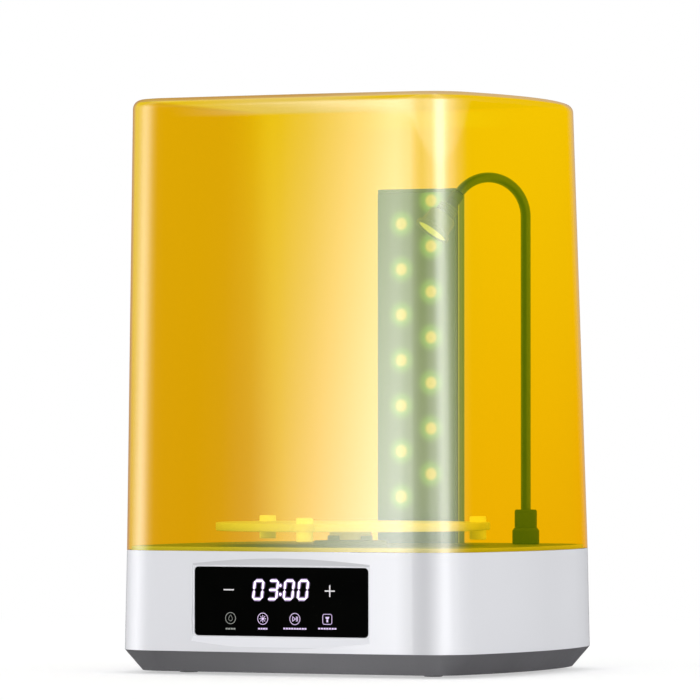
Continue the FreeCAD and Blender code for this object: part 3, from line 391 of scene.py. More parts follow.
def hood_material(name, outer):
    """Amber acrylic: the outer face carries a tint with painted shade and light, a painted glow, a
    painted roof reflection and the silhouette; both faces mirror.
    """
    g = new_material(name)
    cosine = g.math("SUBTRACT", 1.0, g.facing())
    grazing = g.math("POWER", g.math("SUBTRACT", 1.0, cosine), 5.0)
    # Schlick reflectance, held back at the very edge
    reflection = g.remap(grazing, (0.0, 1.0), to=(0.039, 0.30) if outer else (0.006, 0.05))
    if outer:
        x, y, z = g.position()
        clear = g.shader("BsdfTransparent", {0: hood_tint_with_painted_shading(g, x, y, z)})
        # painted light: an even glow emitted by the walls, then the painted roof reflection
        painted_wall_glow = g.shader("Emission", {0: PAINTED_WALL_GLOW, 1: 1.0})
        body = g.join(g.join(clear, painted_wall_glow), hood_painted_roof_reflection(g, x, z))
        share, edge = hood_edge(g, x, cosine)
        body = g.blend(share, body, edge)
        reflection = held_reflection(g, reflection, x)
    else:
        drift = g.noise(3.2, detail=3.0)
        tint = g.two_tone(drift, (0.985, 0.975, 0.95), (1.0, 0.99, 0.97))
        body = g.shader("BsdfTransparent", {0: tint})
    smudges = g.noise(30.0, detail=6.0, roughness=0.7)
    gloss = g.shader("BsdfGlossy", {
        "Color": (1.0, 1.0, 1.0),
        "Roughness": g.remap(smudges, (0.3, 0.8), to=(0.010, 0.030)),
        "Normal": g.bump(g.noise(9.0, detail=1.0), strength=0.25, distance=0.00001),
    })
    # no mirror for shadow rays or on back faces
    blocked = g.math("MAXIMUM", g.node("LightPath").outputs["Is Shadow Ray"],
                     g.node("NewGeometry").outputs["Backfacing"])
    reflection = g.product(reflection, g.math("SUBTRACT", 1.0, blocked))
    return g.end(g.blend(reflection, body, gloss))


def hood_rim_material():
    g = new_material("amber_rim")
    variation = g.noise(40.0)
    return g.principled({
        "Base Color": g.two_tone(variation, (0.62, 0.36, 0.02), (0.78, 0.50, 0.03)),
        "Roughness": g.remap(variation, (0.2, 0.8), to=(0.25, 0.45)),
    })


amber_outer = hood_material("amber_outer", outer=True)
amber_inner = hood_material("amber_inner", outer=False)
amber_rim = hood_rim_material()


# ---------------------------------------------------------------- painted shade and light on the base mouldings, the plinth and the tower seam
# (x, brightness) of painted shade across the front where it rolls into the front right corner
CORNER_SHADE = [
    (0.096, 1.0), (0.101, 0.93), (0.1055, 0.85), (0.110, 0.765), (0.1145, 0.715), (0.119, 0.700),
    (0.1225, 0.73), (0.1255, 0.80), (0.1285, 0.90), (0.132, 0.985), (0.136, 1.0)]
CORNER_START, CORNER_SPAN = 0.096, 0.040
# (axis, centre, half size) of the dished surround of the display
SURROUND = ((0, 0.0, 0.088), (1, -0.134, 0.0075), (2, 0.0565, 0.0345))
# (span of normal z, brightness): painted shade under the surround's upper lip, painted light on its
# sill
SURROUND_SHADE = (((-0.03, -0.30), 0.80), ((0.05, 0.30), 1.14))
# painted light: brightness gain on the rear of the right side
RIGHT_REAR_PAINTED_LIGHT = 1.20

# (x, brightness) of painted shade and light along the front of the plinth, and the painted brightness
# of its right side
PLINTH_SHADE = [(-0.150, 0.45), (-0.110, 0.62), (-0.050, 0.92), (0.000, 1.26), (0.050, 1.40),
                (0.100, 1.26), (0.130, 1.20)]
# painted light: brightness of the plinth's right side
PLINTH_SIDE_PAINTED_LIGHT = 1.42


def grey(value):
    return (value, value, value)


def shell_painted_shading(g, color):
    """Paints shade on the front right corner and under the display surround's lip, paints light on
    the surround's sill and on the right side's rear.
    """
    place = g.position()
    x, y, z = place
    stops = [((at - CORNER_START) / CORNER_SPAN, grey(k)) for at, k in CORNER_SHADE]
    along = g.remap(x, (CORNER_START, 0.136))
    shade = g.ramp(along, stops, "B_SPLINE")
    normal_x, _, normal_z = g.xyz(g.normal())
    front_wall = g.product(g.smooth(y, (-0.085, -0.100)), g.smooth(normal_z, (0.75, 0.25)))
    # painted shade across the front right corner
    color = g.multiply(front_wall, color, shade)
    right_rear = g.product(g.smooth(y, (-0.01, 0.105)), g.smooth(normal_x, (0.55, 0.90)))
    # painted light on the rear of the right side
    color = g.multiply(right_rear, color, grey(RIGHT_REAR_PAINTED_LIGHT))
    inside = g.product(*(g.math("COMPARE", place[axis], centre, half)
                         for axis, centre, half in SURROUND))
    # painted shade under the surround's lip, painted light on its sill
    for span, brightness in SURROUND_SHADE:
        mask = g.product(inside, g.smooth(normal_z, span))
        color = g.multiply(mask, color, grey(brightness))
    return color


def plinth_painted_shading(g, color):
    """Painted shade and light: brightness changes along x on the front, one flat painted brightness
    on the right side.
    """
    start, end = PLINTH_SHADE[0][0], PLINTH_SHADE[-1][0]
    stops = [((at - start) / (end - start), grey(k / PLINTH_SIDE_PAINTED_LIGHT)) for at, k in PLINTH_SHADE]
    # painted shade and light along the front
    front = g.ramp(g.remap(g.position()[0], (start, end)), stops)
    right = g.remap(g.xyz(g.normal())[0], (0.35, 0.62))
    shade = g.mix(right, front, grey(1.0))
    # the ramp holds brightness as a share of the side's, so the gain comes last
    return g.multiply(1.0, g.multiply(1.0, color, shade), grey(PLINTH_SIDE_PAINTED_LIGHT))


# (start, end) behind the tower's front, colour: painted shadow in the gap, painted highlight on the
# lip, painted shade behind it
TOWER_SEAM_PAINTED_BANDS = (
    (0.0008, 0.0030, (0.030, 0.070, 0.085)),
    (0.0030, 0.0052, (0.460, 0.590, 0.56)),
    (0.0052, 0.0066, (0.070, 0.135, 0.16)),
)


def tower_seam_painted_shading(g, color):
    """Painted shadow and highlight bands across the housing where it meets the diffuser."""
    y = g.position()[1]
    # each band paints shadow or a highlight
    for start, end, band_color in TOWER_SEAM_PAINTED_BANDS:
        middle = TOWER_FRONT + (start + end) / 2
        color = g.mix(g.math("COMPARE", y, middle, (end - start) / 2), color, band_color)
    return color


# white shell with painted shade and light on its front right corner, display surround and right side
shell_white = plastic(
    "shell_white_p", (0.765, 0.768, 0.800), roughness=0.10, specular=0.20, drift=0.012,
    grain=1500.0, relief=0.000004, worn=0.35, worn_color=(0.86, 0.86, 0.88), edge=0.0005,
    painted_shading=shell_painted_shading)
# grey plinth with painted shade and light along its front and on its right side
plinth_grey = plastic(
    "plinth_grey_p", (0.068, 0.067, 0.071), roughness=0.42, specular=0.11, drift=0.10,
    grain=1200.0, relief=0.00002, specks=0.25, worn=0.4, worn_color=(0.13, 0.13, 0.14),
    painted_shading=plinth_painted_shading)
deck_dark = plastic(
    "deck_dark_p", (0.235, 0.290, 0.255), roughness=0.46, specular=0.35, drift=0.12,
    grain=1300.0, relief=0.00003, specks=0.3, worn=0.4, worn_color=(0.32, 0.38, 0.34))
part_black = plastic(
    "part_black_p", (0.018, 0.018, 0.019), roughness=0.40, specular=0.4, drift=0.2,
    grain=900.0, relief=0.00003, specks=0.3, worn=0.5, worn_color=(0.06, 0.06, 0.06))
rubber = plastic(
    "rubber_black_p", (0.022, 0.022, 0.022), roughness=0.78, specular=0.25, drift=0.2,
    grain=700.0, relief=0.00006, specks=0.4, worn=0.6, worn_color=(0.07, 0.07, 0.07))
# painted self-light: the disc emits a faint glow though it holds no lamp
disc_white = plastic(
    "disc_white_p", (0.93, 0.93, 0.90), roughness=0.32, specular=0.4, drift=0.02,
    grain=1500.0, relief=0.00001, worn=0.3, worn_color=(0.97, 0.97, 0.95), glow=0.12)
# painted self-light: the posts emit a glow though they hold no lamp, to look brightly lit
post_white = plastic(
    "post_white_p", (0.93, 0.93, 0.90), roughness=0.30, specular=0.4, drift=0.02,
    grain=1500.0, relief=0.00001, worn=0.3, worn_color=(0.97, 0.97, 0.95), glow=0.34)
hub_grey = plastic(
    "hub_grey_p", (0.42, 0.52, 0.40), roughness=0.38, specular=0.4, drift=0.06,
    grain=1300.0, relief=0.00002, worn_color=(0.545, 0.67, 0.52))
# tower housing with painted shadow and highlight bands at its seam with the diffuser
tower_grey = plastic(
    "tower_grey_p", (0.158, 0.280, 0.34), roughness=0.42, specular=0.2, drift=0.07,
    grain=1200.0, relief=0.00001, worn=0.4, worn_color=(0.22, 0.34, 0.44), painted_shading=tower_seam_painted_shading)
tower_cap = plastic(
    "tower_cap_p", (0.105, 0.200, 0.34), roughness=0.42, specular=0.2, drift=0.07,
    grain=1200.0, relief=0.00001, worn=0.5, worn_color=(0.22, 0.34, 0.44))
lamp_sleeve = plastic(
    "lamp_sleeve_p", (0.070, 0.125, 0.098), roughness=0.45, specular=0.12, drift=0.10,
    grain=1300.0, relief=0.00001, worn=0.4, worn_color=(0.15, 0.22, 0.17))
lamp_grey = plastic(
    "lamp_grey_p", (0.135, 0.225, 0.22), roughness=0.42, specular=0.14, drift=0.08,
    grain=1300.0, relief=0.00001, worn=0.35, worn_color=(0.24, 0.34, 0.33))
lamp_plug = plastic(
    "lamp_plug_p", (0.064, 0.106, 0.084), roughness=0.45, specular=0.12, drift=0.15,
    grain=1200.0, relief=0.00002, worn=0.5, worn_color=(0.06, 0.12, 0.07))
steel = metal("steel_p", (0.62, 0.62, 0.64), roughness=0.26)
motor_steel = metal("motor_steel_p", (0.48, 0.48, 0.50), roughness=0.38, brush=(60.0, 60.0, 1.0))
brass = metal("brass_p", (0.72, 0.52, 0.24), roughness=0.30)
magnet = metal("magnet_p", (0.52, 0.52, 0.55), roughness=0.20)


# ---------------------------------------------------------------- panel, boards and leads
def panel_material():
    """Smoked front film: near black with a soft sheen."""
    g = new_material("panel_black_p")
    clouds = g.noise(18.0, detail=5.0, roughness=0.6)
    color = g.two_tone(clouds, (0.0005, 0.0006, 0.0005), (0.0013, 0.0014, 0.0011))
    wear, bevelled = g.edge_wear(0.0006)
    smudges = g.noise(34.0, detail=6.0, roughness=0.7)
    grain = g.noise(1500.0, detail=2.0)
    return g.principled({
        "Base Color": g.mix(g.product(wear, 0.6), color, (0.03, 0.03, 0.033)),
        "Roughness": g.remap(smudges, (0.3, 0.8), to=(0.10, 0.22)),
        "Specular IOR Level": 0.002,
        "Normal": g.bump(grain, strength=0.2, distance=0.000004, normal=bevelled),
    })


def board_material(name, base):
    """Solder mask with tracks and round copper pads."""
    g = new_material(name)
    place = g.object_space()
    tracks = g.node("TexBrick", {
        "Vector": place, "Scale": 240.0, "Mortar Size": 0.018,
        "Color1": base, "Color2": scaled(base, 1.25), "Mortar": scaled(base, 2.0)}).outputs
    cells = g.node("TexVoronoi", {"Vector": place, "Scale": 300.0}).outputs
    pads = g.remap(cells["Distance"], (0.12, 0.16), to=(1.0, 0.0))
    return g.principled({
        "Base Color": g.mix(pads, tracks["Color"], (0.55, 0.42, 0.16)),
        "Roughness": g.remap(g.noise(60.0), (0.3, 0.7), to=(0.25, 0.42)),
        "Normal": g.bump(tracks["Fac"], strength=0.4, distance=0.00003),
    })


def component_material():
    """Cells of black, pale and blue that pass for separate components."""
    g = new_material("components_p")
    cells = g.node("TexVoronoi", {"Vector": g.object_space(), "Scale": 46.0})
    pick = g.node("SeparateColor", {0: cells.outputs["Color"]}).outputs["Red"]
    color = g.ramp(pick, [(0.0, (0.012, 0.012, 0.013)), (0.45, (0.02, 0.02, 0.022)),
                          (0.6, (0.55, 0.53, 0.48)), (1.0, (0.02, 0.05, 0.16))])
    grain = g.noise(900.0, detail=2.0)
    return g.principled({
        "Base Color": color,
        "Roughness": g.remap(grain, (0.3, 0.7), to=(0.35, 0.5)),
        "Normal": g.bump(grain, strength=0.4, distance=0.00003),
    })


panel_black = panel_material()
board_green = board_material("pcb_green_p", (0.010, 0.085, 0.030))
board_white = board_material("pcb_white_p", (0.36, 0.37, 0.38))
components = component_material()

digit_face = emitter("legend_digit", (1.0, 0.93, 1.0), strength=1.15)
digit_halo_near = emitter("legend_halo_near", (0.34, 0.20, 0.50), strength=0.62)
digit_halo_far = emitter("legend_halo_far", (0.10, 0.05, 0.16), strength=0.40)
legend_white = emitter("legend_white", (0.62, 0.60, 0.62), strength=0.72)
legend_violet = emitter("legend_violet", (0.56, 0.44, 0.70), strength=0.85)
legend_dim = emitter("legend_dim", (0.16, 0.17, 0.15), strength=0.62)
led_chip = emitter("led_chip", (0.75, 0.80, 1.0), strength=2.2)
lamp_lens = emitter("lamp_lens_p", (0.52, 0.70, 0.98), strength=0.75, scale=260.0)


def window_material():
    """Frosted diffuser with a soft spot over each LED behind it."""
    g = new_material("tower_window_p")
    x, _, z = g.position()

    def led_column(led_x, top):
        """Masks of the bright cores and wider halos, repeated down one column."""
        across = g.math("SUBTRACT", x, led_x)
        down = g.math("WRAP", g.math("SUBTRACT", z, top), LED_PITCH / 2, -LED_PITCH / 2)
        offset = g.node("CombineXYZ", {0: across, 2: down}).outputs[0]
        distance = g.node("VectorMath", {0: offset}, operation="LENGTH").outputs["Value"]
        lit = g.math("GREATER_THAN", z, top - 6 * LED_PITCH - LED_PITCH / 2)
        return [g.product(g.remap(distance, span, curve="SMOOTHERSTEP"), lit)
                for span in ((0.0066, 0.0030), (0.0138, 0.0050))]

    right_core, right_halo = led_column(LED_RIGHT_X, LED_RIGHT_TOP)
    left_core, left_halo = led_column(LED_LEFT_X, LED_LEFT_TOP)
    core = g.math("MAXIMUM", right_core, left_core)
    halo = g.math("MAXIMUM", right_halo, left_halo)
    drift = g.noise(9.0, detail=3.0)
    color = g.two_tone(drift, (0.072, 0.155, 0.27), (0.087, 0.180, 0.30))
    # darker border where the board ends behind the diffuser
    centre_x = (window_low.x + window_high.x) / 2
    from_centre = g.math("ABSOLUTE", g.math("SUBTRACT", x, centre_x))
    border = g.remap(from_centre, (0.0300, 0.0322), to=(0.0, 0.22))
    glow = g.mix(halo, (0.0, 0.0, 0.0), (0.100, 0.300, 0.30))
    return g.principled({
        "Base Color": g.mix(border, color, (0.05, 0.11, 0.14)),
        "Emission Color": g.mix(core, glow, (0.56, 0.55, 0.95)),
        "Emission Strength": 1.0,
        "Roughness": g.remap(drift, (0.3, 0.7), to=(0.40, 0.5)),
        "Specular IOR Level": 0.2,
        "Normal": g.bump(g.noise(1600.0, detail=2.0), strength=0.02, distance=0.000001),
    })


def gooseneck_material():
    """Soft sleeve with fine turns along its length, driven by the "along" attribute, with painted
    light on its rim and on its right side.
    """
    turn_pitch = 0.0016
    g = new_material("gooseneck_p")
    along = g.node("Attribute", attribute_name="along").outputs["Fac"]
    turns = g.math("SINE", g.product(along, 2 * math.pi / turn_pitch))
    dust = g.noise(30.0, detail=5.0, roughness=0.6)
    color = g.two_tone(dust, (0.034, 0.078, 0.062), (0.046, 0.096, 0.076))
    # painted rim light: lighter towards the silhouette
    rim = g.smooth(g.facing(), (0.08, 0.55))
    # painted light: the side turned to the viewer's right is painted lighter
    dot = g.node("VectorMath", {0: g.normal(), 1: (0.899, 0.438, 0.0)}, operation="DOT_PRODUCT")
    lit = g.smooth(dot.outputs["Value"], (-0.10, 0.42), to=(0.0, 0.62))
    grain = g.noise(1200.0, detail=2.0)
    turned = g.bump(turns, strength=0.25, distance=0.00006)
    return g.principled({
        # painted light colour mixed in on the rim and the right side
        "Base Color": g.mix(g.math("MAXIMUM", rim, lit), color, (0.175, 0.225, 0.160)),
        "Roughness": g.remap(grain, (0.3, 0.7), to=(0.45, 0.6)),
        "Specular IOR Level": 0.14,
        "Normal": g.bump(grain, strength=0.3, distance=0.00002, normal=turned),
    })


def lead_material(name, base):
    g = new_material(name)
    strands = g.noise(700.0, detail=2.0, stretch=(1.0, 1.0, 0.2))
    return g.principled({
        "Base Color": g.two_tone(g.noise(25.0), scaled(base, 0.8), base),
        "Roughness": g.remap(strands, (0.3, 0.7), to=(0.4, 0.55)),
        "Normal": g.bump(strands, strength=0.4, distance=0.00003),
    })


tower_window = window_material()
gooseneck = gooseneck_material()
lead_black = lead_material("lead_black_p", (0.03, 0.03, 0.03))
lead_grey = lead_material("lead_grey_p", (0.25, 0.25, 0.26))


# ---------------------------------------------------------------- mesh helpers
def make_object(name, bm, material, smooth=35.0, outward=True):
    """Object from a bmesh; smooth is the sharp-edge angle in degrees, None for flat faces."""
    if outward:
        bmesh.ops.recalc_face_normals(bm, faces=bm.faces)
    mesh = bpy.data.meshes.new(name)
    bm.normal_update()
    bm.to_mesh(mesh)
    bm.free()
    made = bpy.data.objects.new(name, mesh)
    bpy.context.scene.collection.objects.link(made)
    if smooth is not None:
        mesh.shade_smooth()
        mesh.set_sharp_from_angle(angle=math.radians(smooth))
    mesh.materials.append(material)
    return made


def add_ring(bm, points):
    return [bm.verts.new(point) for point in points]


def bridge(bm, a, b, material=0):
    for i in range(len(a)):
        j = (i + 1) % len(a)
        bm.faces.new((a[i], a[j], b[j], b[i])).material_index = material


def bridge_all(bm, rings):
    for a, b in zip(rings, rings[1:]):
        bridge(bm, a, b)


def fan(bm, ring, tip, flip=False, material=0):
    """Closes a ring with triangles to one vertex."""
    for i in range(len(ring)):
        a, b = ring[i], ring[(i + 1) % len(ring)]
        bm.faces.new((b, a, tip) if flip else (a, b, tip)).material_index = material


def unit_circle(count):
    return [(math.cos(2 * math.pi * i / count), math.sin(2 * math.pi * i / count))
            for i in range(count)]


def lathe(name, profile, origin, segments, material, axis=(0, 0, 1)):
    """Turns (radius, height) points round an axis. Radius 0 makes a pole; a profile that
    starts off the axis is closed on itself."""
    bm = bmesh.new()
    origin = Vector(origin)
    turn = Vector(axis).normalized().to_track_quat("Z", "Y")
    rings = []
    for radius, height in profile:
        spokes = [(0, 0)] if radius < 1e-9 else unit_circle(segments)
        rings.append(add_ring(bm, [origin + turn @ Vector((radius * c, radius * s, height))
                                   for c, s in spokes]))
    pairs = list(zip(rings, rings[1:]))
    if profile[0][0] > 0:
        pairs.append((rings[-1], rings[0]))
    for a, b in pairs:
        if len(a) == 1:
            fan(bm, b, a[0], flip=True)
        elif len(b) == 1:
            fan(bm, a, b[0])
        else:
            bridge(bm, a, b)
    return make_object(name, bm, material)


def round_profile(points, steps):
    """Rounds the corners of a profile of (radius, height, corner radius) points."""
    rounded = []
    for i, (x, y, corner) in enumerate(points):
        if corner <= 0:
            rounded.append((x, y))
            continue
        middle = Vector((x, y))
        before = Vector(points[i - 1][:2]) - middle
        after = Vector(points[i + 1][:2]) - middle
        before_length, after_length = before.length, after.length
        before /= before_length
        after /= after_length
        angle = math.acos(before.dot(after))
        cut = min(corner / math.tan(angle / 2), 0.45 * before_length, 0.45 * after_length)
        for k in range(steps + 1):
            s = k / steps
            point = ((middle + before * cut) * (1 - s) ** 2 + middle * 2 * s * (1 - s)
                     + (middle + after * cut) * s * s)
            rounded.append((point.x, point.y))
    return rounded


def turned_part(name, node, rides, profile, steps, origin, segments, material,
                axis=(0, 0, 1)):
    """Lathed part that stands in for one CAD piece."""
    part = lathe(name, round_profile(profile, steps), origin, segments, material, axis)
    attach(part, rides)
    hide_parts(node)


# ---------------------------------------------------------------- hood
BASE_WIDTH = 0.324                          # at the foot of the base
BASE_DEPTH = base_high.y - base_low.y
BASE_DRAFT = 0.00115                        # the base narrows by this per side up to the hood
HOOD_SIDE, HOOD_FRONT, HOOD_REAR = 0.0028, 0.0034, 0.0205     # lean of the walls over the height
CORNER_RADIUS = 0.041
SIDE_BOW, FRONT_BOW = 0.011, 0.0024         # outward bulge of the sides and of front and rear
SIDE_STEPS, CORNER_STEPS, FRONT_STEPS = 10, 14, 12            # per quarter outline
HOOD_WALL = 0.003
OUTER_FILLET, INNER_FILLET = 0.007, 0.004
WALL_ROWS, FILLET_ROWS = 14, 8
FILLET_SUPPORT = 0.0005                     # extra ring this far below the fillet
ROOF_RINGS = (0.995, 0.9, 0.7, 0.45, 0.2)   # share of the roof outline


def arc(centre_x, centre_y, radius, start, end, count):
    """Points of an arc without its end point."""
    angles = [start + (end - start) * i / count for i in range(count)]
    return [(centre_x + radius * math.cos(a), centre_y + radius * math.sin(a)) for a in angles]


def hood_outline(z, inset):
    """Closed outline at one height, counter-clockwise from above: four bowed sides with
    round corners that run into them without a kink."""
    rise = (z - HOOD_FOOT) / (HOOD_TOP - HOOD_FOOT)
    half_width = (BASE_WIDTH - 2 * BASE_DRAFT - 2 * HOOD_SIDE * rise) / 2
    half_depth = (BASE_DEPTH - 2 * BASE_DRAFT - (HOOD_FRONT + HOOD_REAR) * rise) / 2
    middle_y = (HOOD_FRONT - HOOD_REAR) * rise / 2
    y = half_depth - CORNER_RADIUS - FRONT_BOW
    x = half_width - CORNER_RADIUS - SIDE_BOW
    side_radius = (y * y + SIDE_BOW ** 2) / (2 * SIDE_BOW)
    end_radius = (x * x + FRONT_BOW ** 2) / (2 * FRONT_BOW)
    side_x = half_width - side_radius
    end_y = half_depth - end_radius
    # settle the corner's centre so that its arc touches both bows
    for _ in range(60):
        x = side_x + math.sqrt((side_radius - CORNER_RADIUS) ** 2 - y * y)
        y = end_y + math.sqrt((end_radius - CORNER_RADIUS) ** 2 - x * x)
    corner_start = math.atan2(y, x - side_x)
    corner_end = math.atan2(y - end_y, x)
    quarter = (
        arc(side_x, 0, side_radius - inset, 0.0, corner_start, SIDE_STEPS)
        + arc(x, y, CORNER_RADIUS - inset, corner_start, corner_end, CORNER_STEPS)
        + arc(0, end_y, end_radius - inset, corner_end, math.pi / 2, FRONT_STEPS))
    returning = quarter[:0:-1]
    tip = half_depth - inset
    outline = (quarter + [(0.0, tip)] + [(-px, py) for px, py in returning]
               + [(-px, -py) for px, py in quarter] + [(0.0, -tip)]
               + [(px, -py) for px, py in returning])
    return [Vector((px, py + middle_y, z)) for px, py in outline]


def hood_skin(bm, top, fillet, inset):
    """Rings of one wall face from the foot to the top of its roof fillet."""
    rings = []
    for i in range(WALL_ROWS + 1):
        z = HOOD_FOOT + (top - fillet - HOOD_FOOT) * i / WALL_ROWS
        rings.append(add_ring(bm, hood_outline(z, inset)))
        if i == WALL_ROWS - 1:
            rings.append(add_ring(bm, hood_outline(top - fillet - FILLET_SUPPORT, inset)))
    for k in range(1, FILLET_ROWS + 1):
        t = math.pi / 2 * k / FILLET_ROWS
        z = top - fillet + fillet * math.sin(t)
        rings.append(add_ring(bm, hood_outline(z, inset + fillet * (1 - math.cos(t)))))
    return rings


def roof(bm, ring, z, flip=False, material=0):
    """Fills a ring with shrinking rings and a centre fan."""
    centre = sum((vert.co for vert in ring), Vector()) / len(ring)
    previous = ring
    for share in ROOF_RINGS:
        points = [centre.lerp(vert.co, share) for vert in ring]
        for point in points:
            point.z = z
        current = add_ring(bm, points)
        if flip:
            bridge(bm, current, previous, material)
        else:
            bridge(bm, previous, current, material)
        previous = current
    fan(bm, previous, bm.verts.new((centre.x, centre.y, z)), flip, material)


def build_hood():
    """One closed shell; material slots are outer face, inner face and bottom rim."""
    bm = bmesh.new()
    outer = hood_skin(bm, HOOD_TOP, OUTER_FILLET, 0.0)
    bridge_all(bm, outer)
    roof(bm, outer[-1], HOOD_TOP)
    ceiling = HOOD_TOP - HOOD_WALL
    inner = hood_skin(bm, ceiling, INNER_FILLET, HOOD_WALL)
    for a, b in zip(inner, inner[1:]):
        bridge(bm, b, a, material=1)
    roof(bm, inner[-1], ceiling, flip=True, material=1)
    bridge(bm, inner[0], outer[0], material=2)
    hood = make_object("hood", bm, amber_outer, smooth=50.0)
    hood.data.materials.append(amber_inner)
    hood.data.materials.append(amber_rim)
    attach(hood, "hood")
    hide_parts("hood_shell")


def build_magnet_pocket():
    """Block with a round bore for the magnet, on the inside of the rear wall."""
    segments = 32
    half_width, half_height = 0.006, 0.0045
    bore_radius, bore_depth = 0.00305, 0.0035
    x = (magnet_low.x + magnet_high.x) / 2
    z = (magnet_low.z + magnet_high.z) / 2
    front = magnet_low.y - 0.0004
    back = magnet_high.y + 0.0062
    circle = unit_circle(segments)
    block = []
    for c, s in circle:
        reach = ((abs(c) / half_width) ** 8 + (abs(s) / half_height) ** 8) ** (-1 / 8)
        block.append((c * reach, s * reach))
    bm = bmesh.new()
    # (y, scale of the block outline), rounded towards the front
    rows = ((back, 1.0), (front + 0.0008, 1.0), (front + 0.0002, 0.97), (front, 0.92))
    rings = [add_ring(bm, [(x + px * scale, y, z + pz * scale) for px, pz in block])
             for y, scale in rows]
    for y in (front, front + bore_depth):
        rings.append(add_ring(bm, [(x + bore_radius * c, y, z + bore_radius * s)
                                   for c, s in circle]))
    bridge_all(bm, rings)
    fan(bm, rings[-1], bm.verts.new((x, front + bore_depth, z)))
    fan(bm, rings[0], bm.verts.new((x, back, z)), flip=True)
    pocket = make_object("hood_magnet_pocket", bm, amber_rim, smooth=40.0)
    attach(pocket, "hood")


build_hood()
build_magnet_pocket()


# ---------------------------------------------------------------- turntable
TURNTABLE_Y = (shaft_low.y + shaft_high.y) / 2
DISC_RADIUS = 0.104
DISC_EDGE = 0.0007                          # rounding of the rim
DISC_SEGMENTS = 288
LUG_RADIUS = 0.0095
POST_RING = 0.1008                          # distance of the posts and lugs from the axis
POST_RADIUS = 0.0065
POST_EDGE = 0.0011
POST_ANGLES = (36.0, 156.0, 276.0)
SHAFT_BORE = 0.0031
GROOVE = 0.0003
# (radius, depth below the top face) inwards to the shaft bore, with two fine grooves
DISC_TOP = ((0.0990, 0), (0.0905, 0), (0.0900, GROOVE), (0.0892, GROOVE), (0.0887, 0),
            (0.0450, 0), (0.0445, GROOVE), (0.0437, GROOVE), (0.0432, 0), (0.0250, 0),
            (SHAFT_BORE, 0))
DISC_BOTTOM = (0.0990, 0.060, 0.0250, SHAFT_BORE)


def disc_outline():
    """Union outline of the disc and its three lugs."""
    points = []
    for i in range(DISC_SEGMENTS):
        angle = 2 * math.pi * i / DISC_SEGMENTS
        radius = DISC_RADIUS
        for post in POST_ANGLES:
            turn = angle - math.radians(post)
            turn = math.atan2(math.sin(turn), math.cos(turn))
            aside = POST_RING * math.sin(turn)
            if abs(aside) < LUG_RADIUS and abs(turn) < 1:
                lug = POST_RING * math.cos(turn) + math.sqrt(LUG_RADIUS ** 2 - aside * aside)
                radius = max(radius, lug)
        points.append((radius * math.cos(angle), radius * math.sin(angle)))
    return points


def build_disc():
    bm = bmesh.new()
    outline = disc_outline()
    bottom, top = disc_low.z, disc_high.z
    # (distance from the face, scale of the outline)
    rim = [(0, 0.988), (0, 1 - DISC_EDGE / DISC_RADIUS),
           (DISC_EDGE * 0.3, 1 - 0.3 * DISC_EDGE / DISC_RADIUS), (DISC_EDGE, 1.0)]
    rows = [(bottom + depth, scale) for depth, scale in rim]
    rows += [(top - depth, scale) for depth, scale in reversed(rim)]
    rings = [add_ring(bm, [(x * scale, TURNTABLE_Y + y * scale, z) for x, y in outline])
             for z, scale in rows]
    bridge_all(bm, rings)
    circle = unit_circle(DISC_SEGMENTS)

    def circle_ring(radius, z):
        return add_ring(bm, [(radius * c, TURNTABLE_Y + radius * s, z) for c, s in circle])

    upper = rings[-1]
    for radius, depth in DISC_TOP:
        current = circle_ring(radius, top - depth)
        bridge(bm, upper, current)
        upper = current
    lower = rings[0]
    for radius in DISC_BOTTOM:
        current = circle_ring(radius, bottom)
        bridge(bm, current, lower)
        lower = current
    bridge(bm, upper, lower)
    disc = make_object("platter_disc", bm, disc_white, smooth=40.0)
    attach(disc, "platter")
    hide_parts("turntable_disc")


def build_posts():
    height = posts_high.z - posts_low.z
    profile = round_profile([(0, 0, 0), (POST_RADIUS, 0, POST_EDGE),
                             (POST_RADIUS, height, POST_EDGE), (0, height, 0)], steps=6)
    # small round recess in the top
    profile[-1:] = [(0.0022, height), (0.0018, height - 0.0004), (0, height - 0.0004)]
    for k, degrees in enumerate(POST_ANGLES):
        angle = math.radians(degrees)
        place = (POST_RING * math.cos(angle), TURNTABLE_Y + POST_RING * math.sin(angle),
                 posts_low.z)
        post = lathe(f"platter_post_{k + 1}", profile, place, 48, post_white)
        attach(post, "platter")
    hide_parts("rim_posts")


build_disc()
build_posts()


# ---------------------------------------------------------------- lamp tower
def rounded_block(name, low, high, corner, edge, edge_steps, material):
    """Upright block: corner rounds the four uprights, edge the top and bottom rims."""
    bm = bmesh.new()
    bends = [math.pi / 2 * k / edge_steps for k in range(edge_steps + 1)]
    rows = [(low[2] + edge * (1 - math.cos(t)), edge * (1 - math.sin(t))) for t in bends]
    rows += [(high[2] - edge * (1 - math.cos(t)), edge * (1 - math.sin(t)))
             for t in reversed(bends)]
    rings = []
    for z, inset in rows:
        radius = corner - inset
        left, right = low[0] + corner, high[0] - corner
        front, back = low[1] + corner, high[1] - corner
        points = []
        for x, y, start in ((right, front, -90), (right, back, 0),
                            (left, back, 90), (left, front, 180)):
            for k in range(7):
                t = math.radians(start + 15.0 * k)
                points.append((x + radius * math.cos(t), y + radius * math.sin(t), z))
        rings.append(add_ring(bm, points))
    bridge_all(bm, rings)
    bm.faces.new(list(reversed(rings[0])))
    bm.faces.new(rings[-1])
    return make_object(name, bm, material)


diffuser = rounded_block("tower_diffuser", window_low, window_high, corner=0.0008,
                         edge=0.00035, edge_steps=3, material=tower_window)
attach(diffuser, "base")
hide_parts("tower_window")
top_cap = rounded_block("tower_top_cap", (cap_low.x, cap_low.y, window_high.z), cap_high,
                        corner=0.0023, edge=0.0009, edge_steps=4, material=tower_cap)
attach(top_cap, "base")
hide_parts("tower_cap")


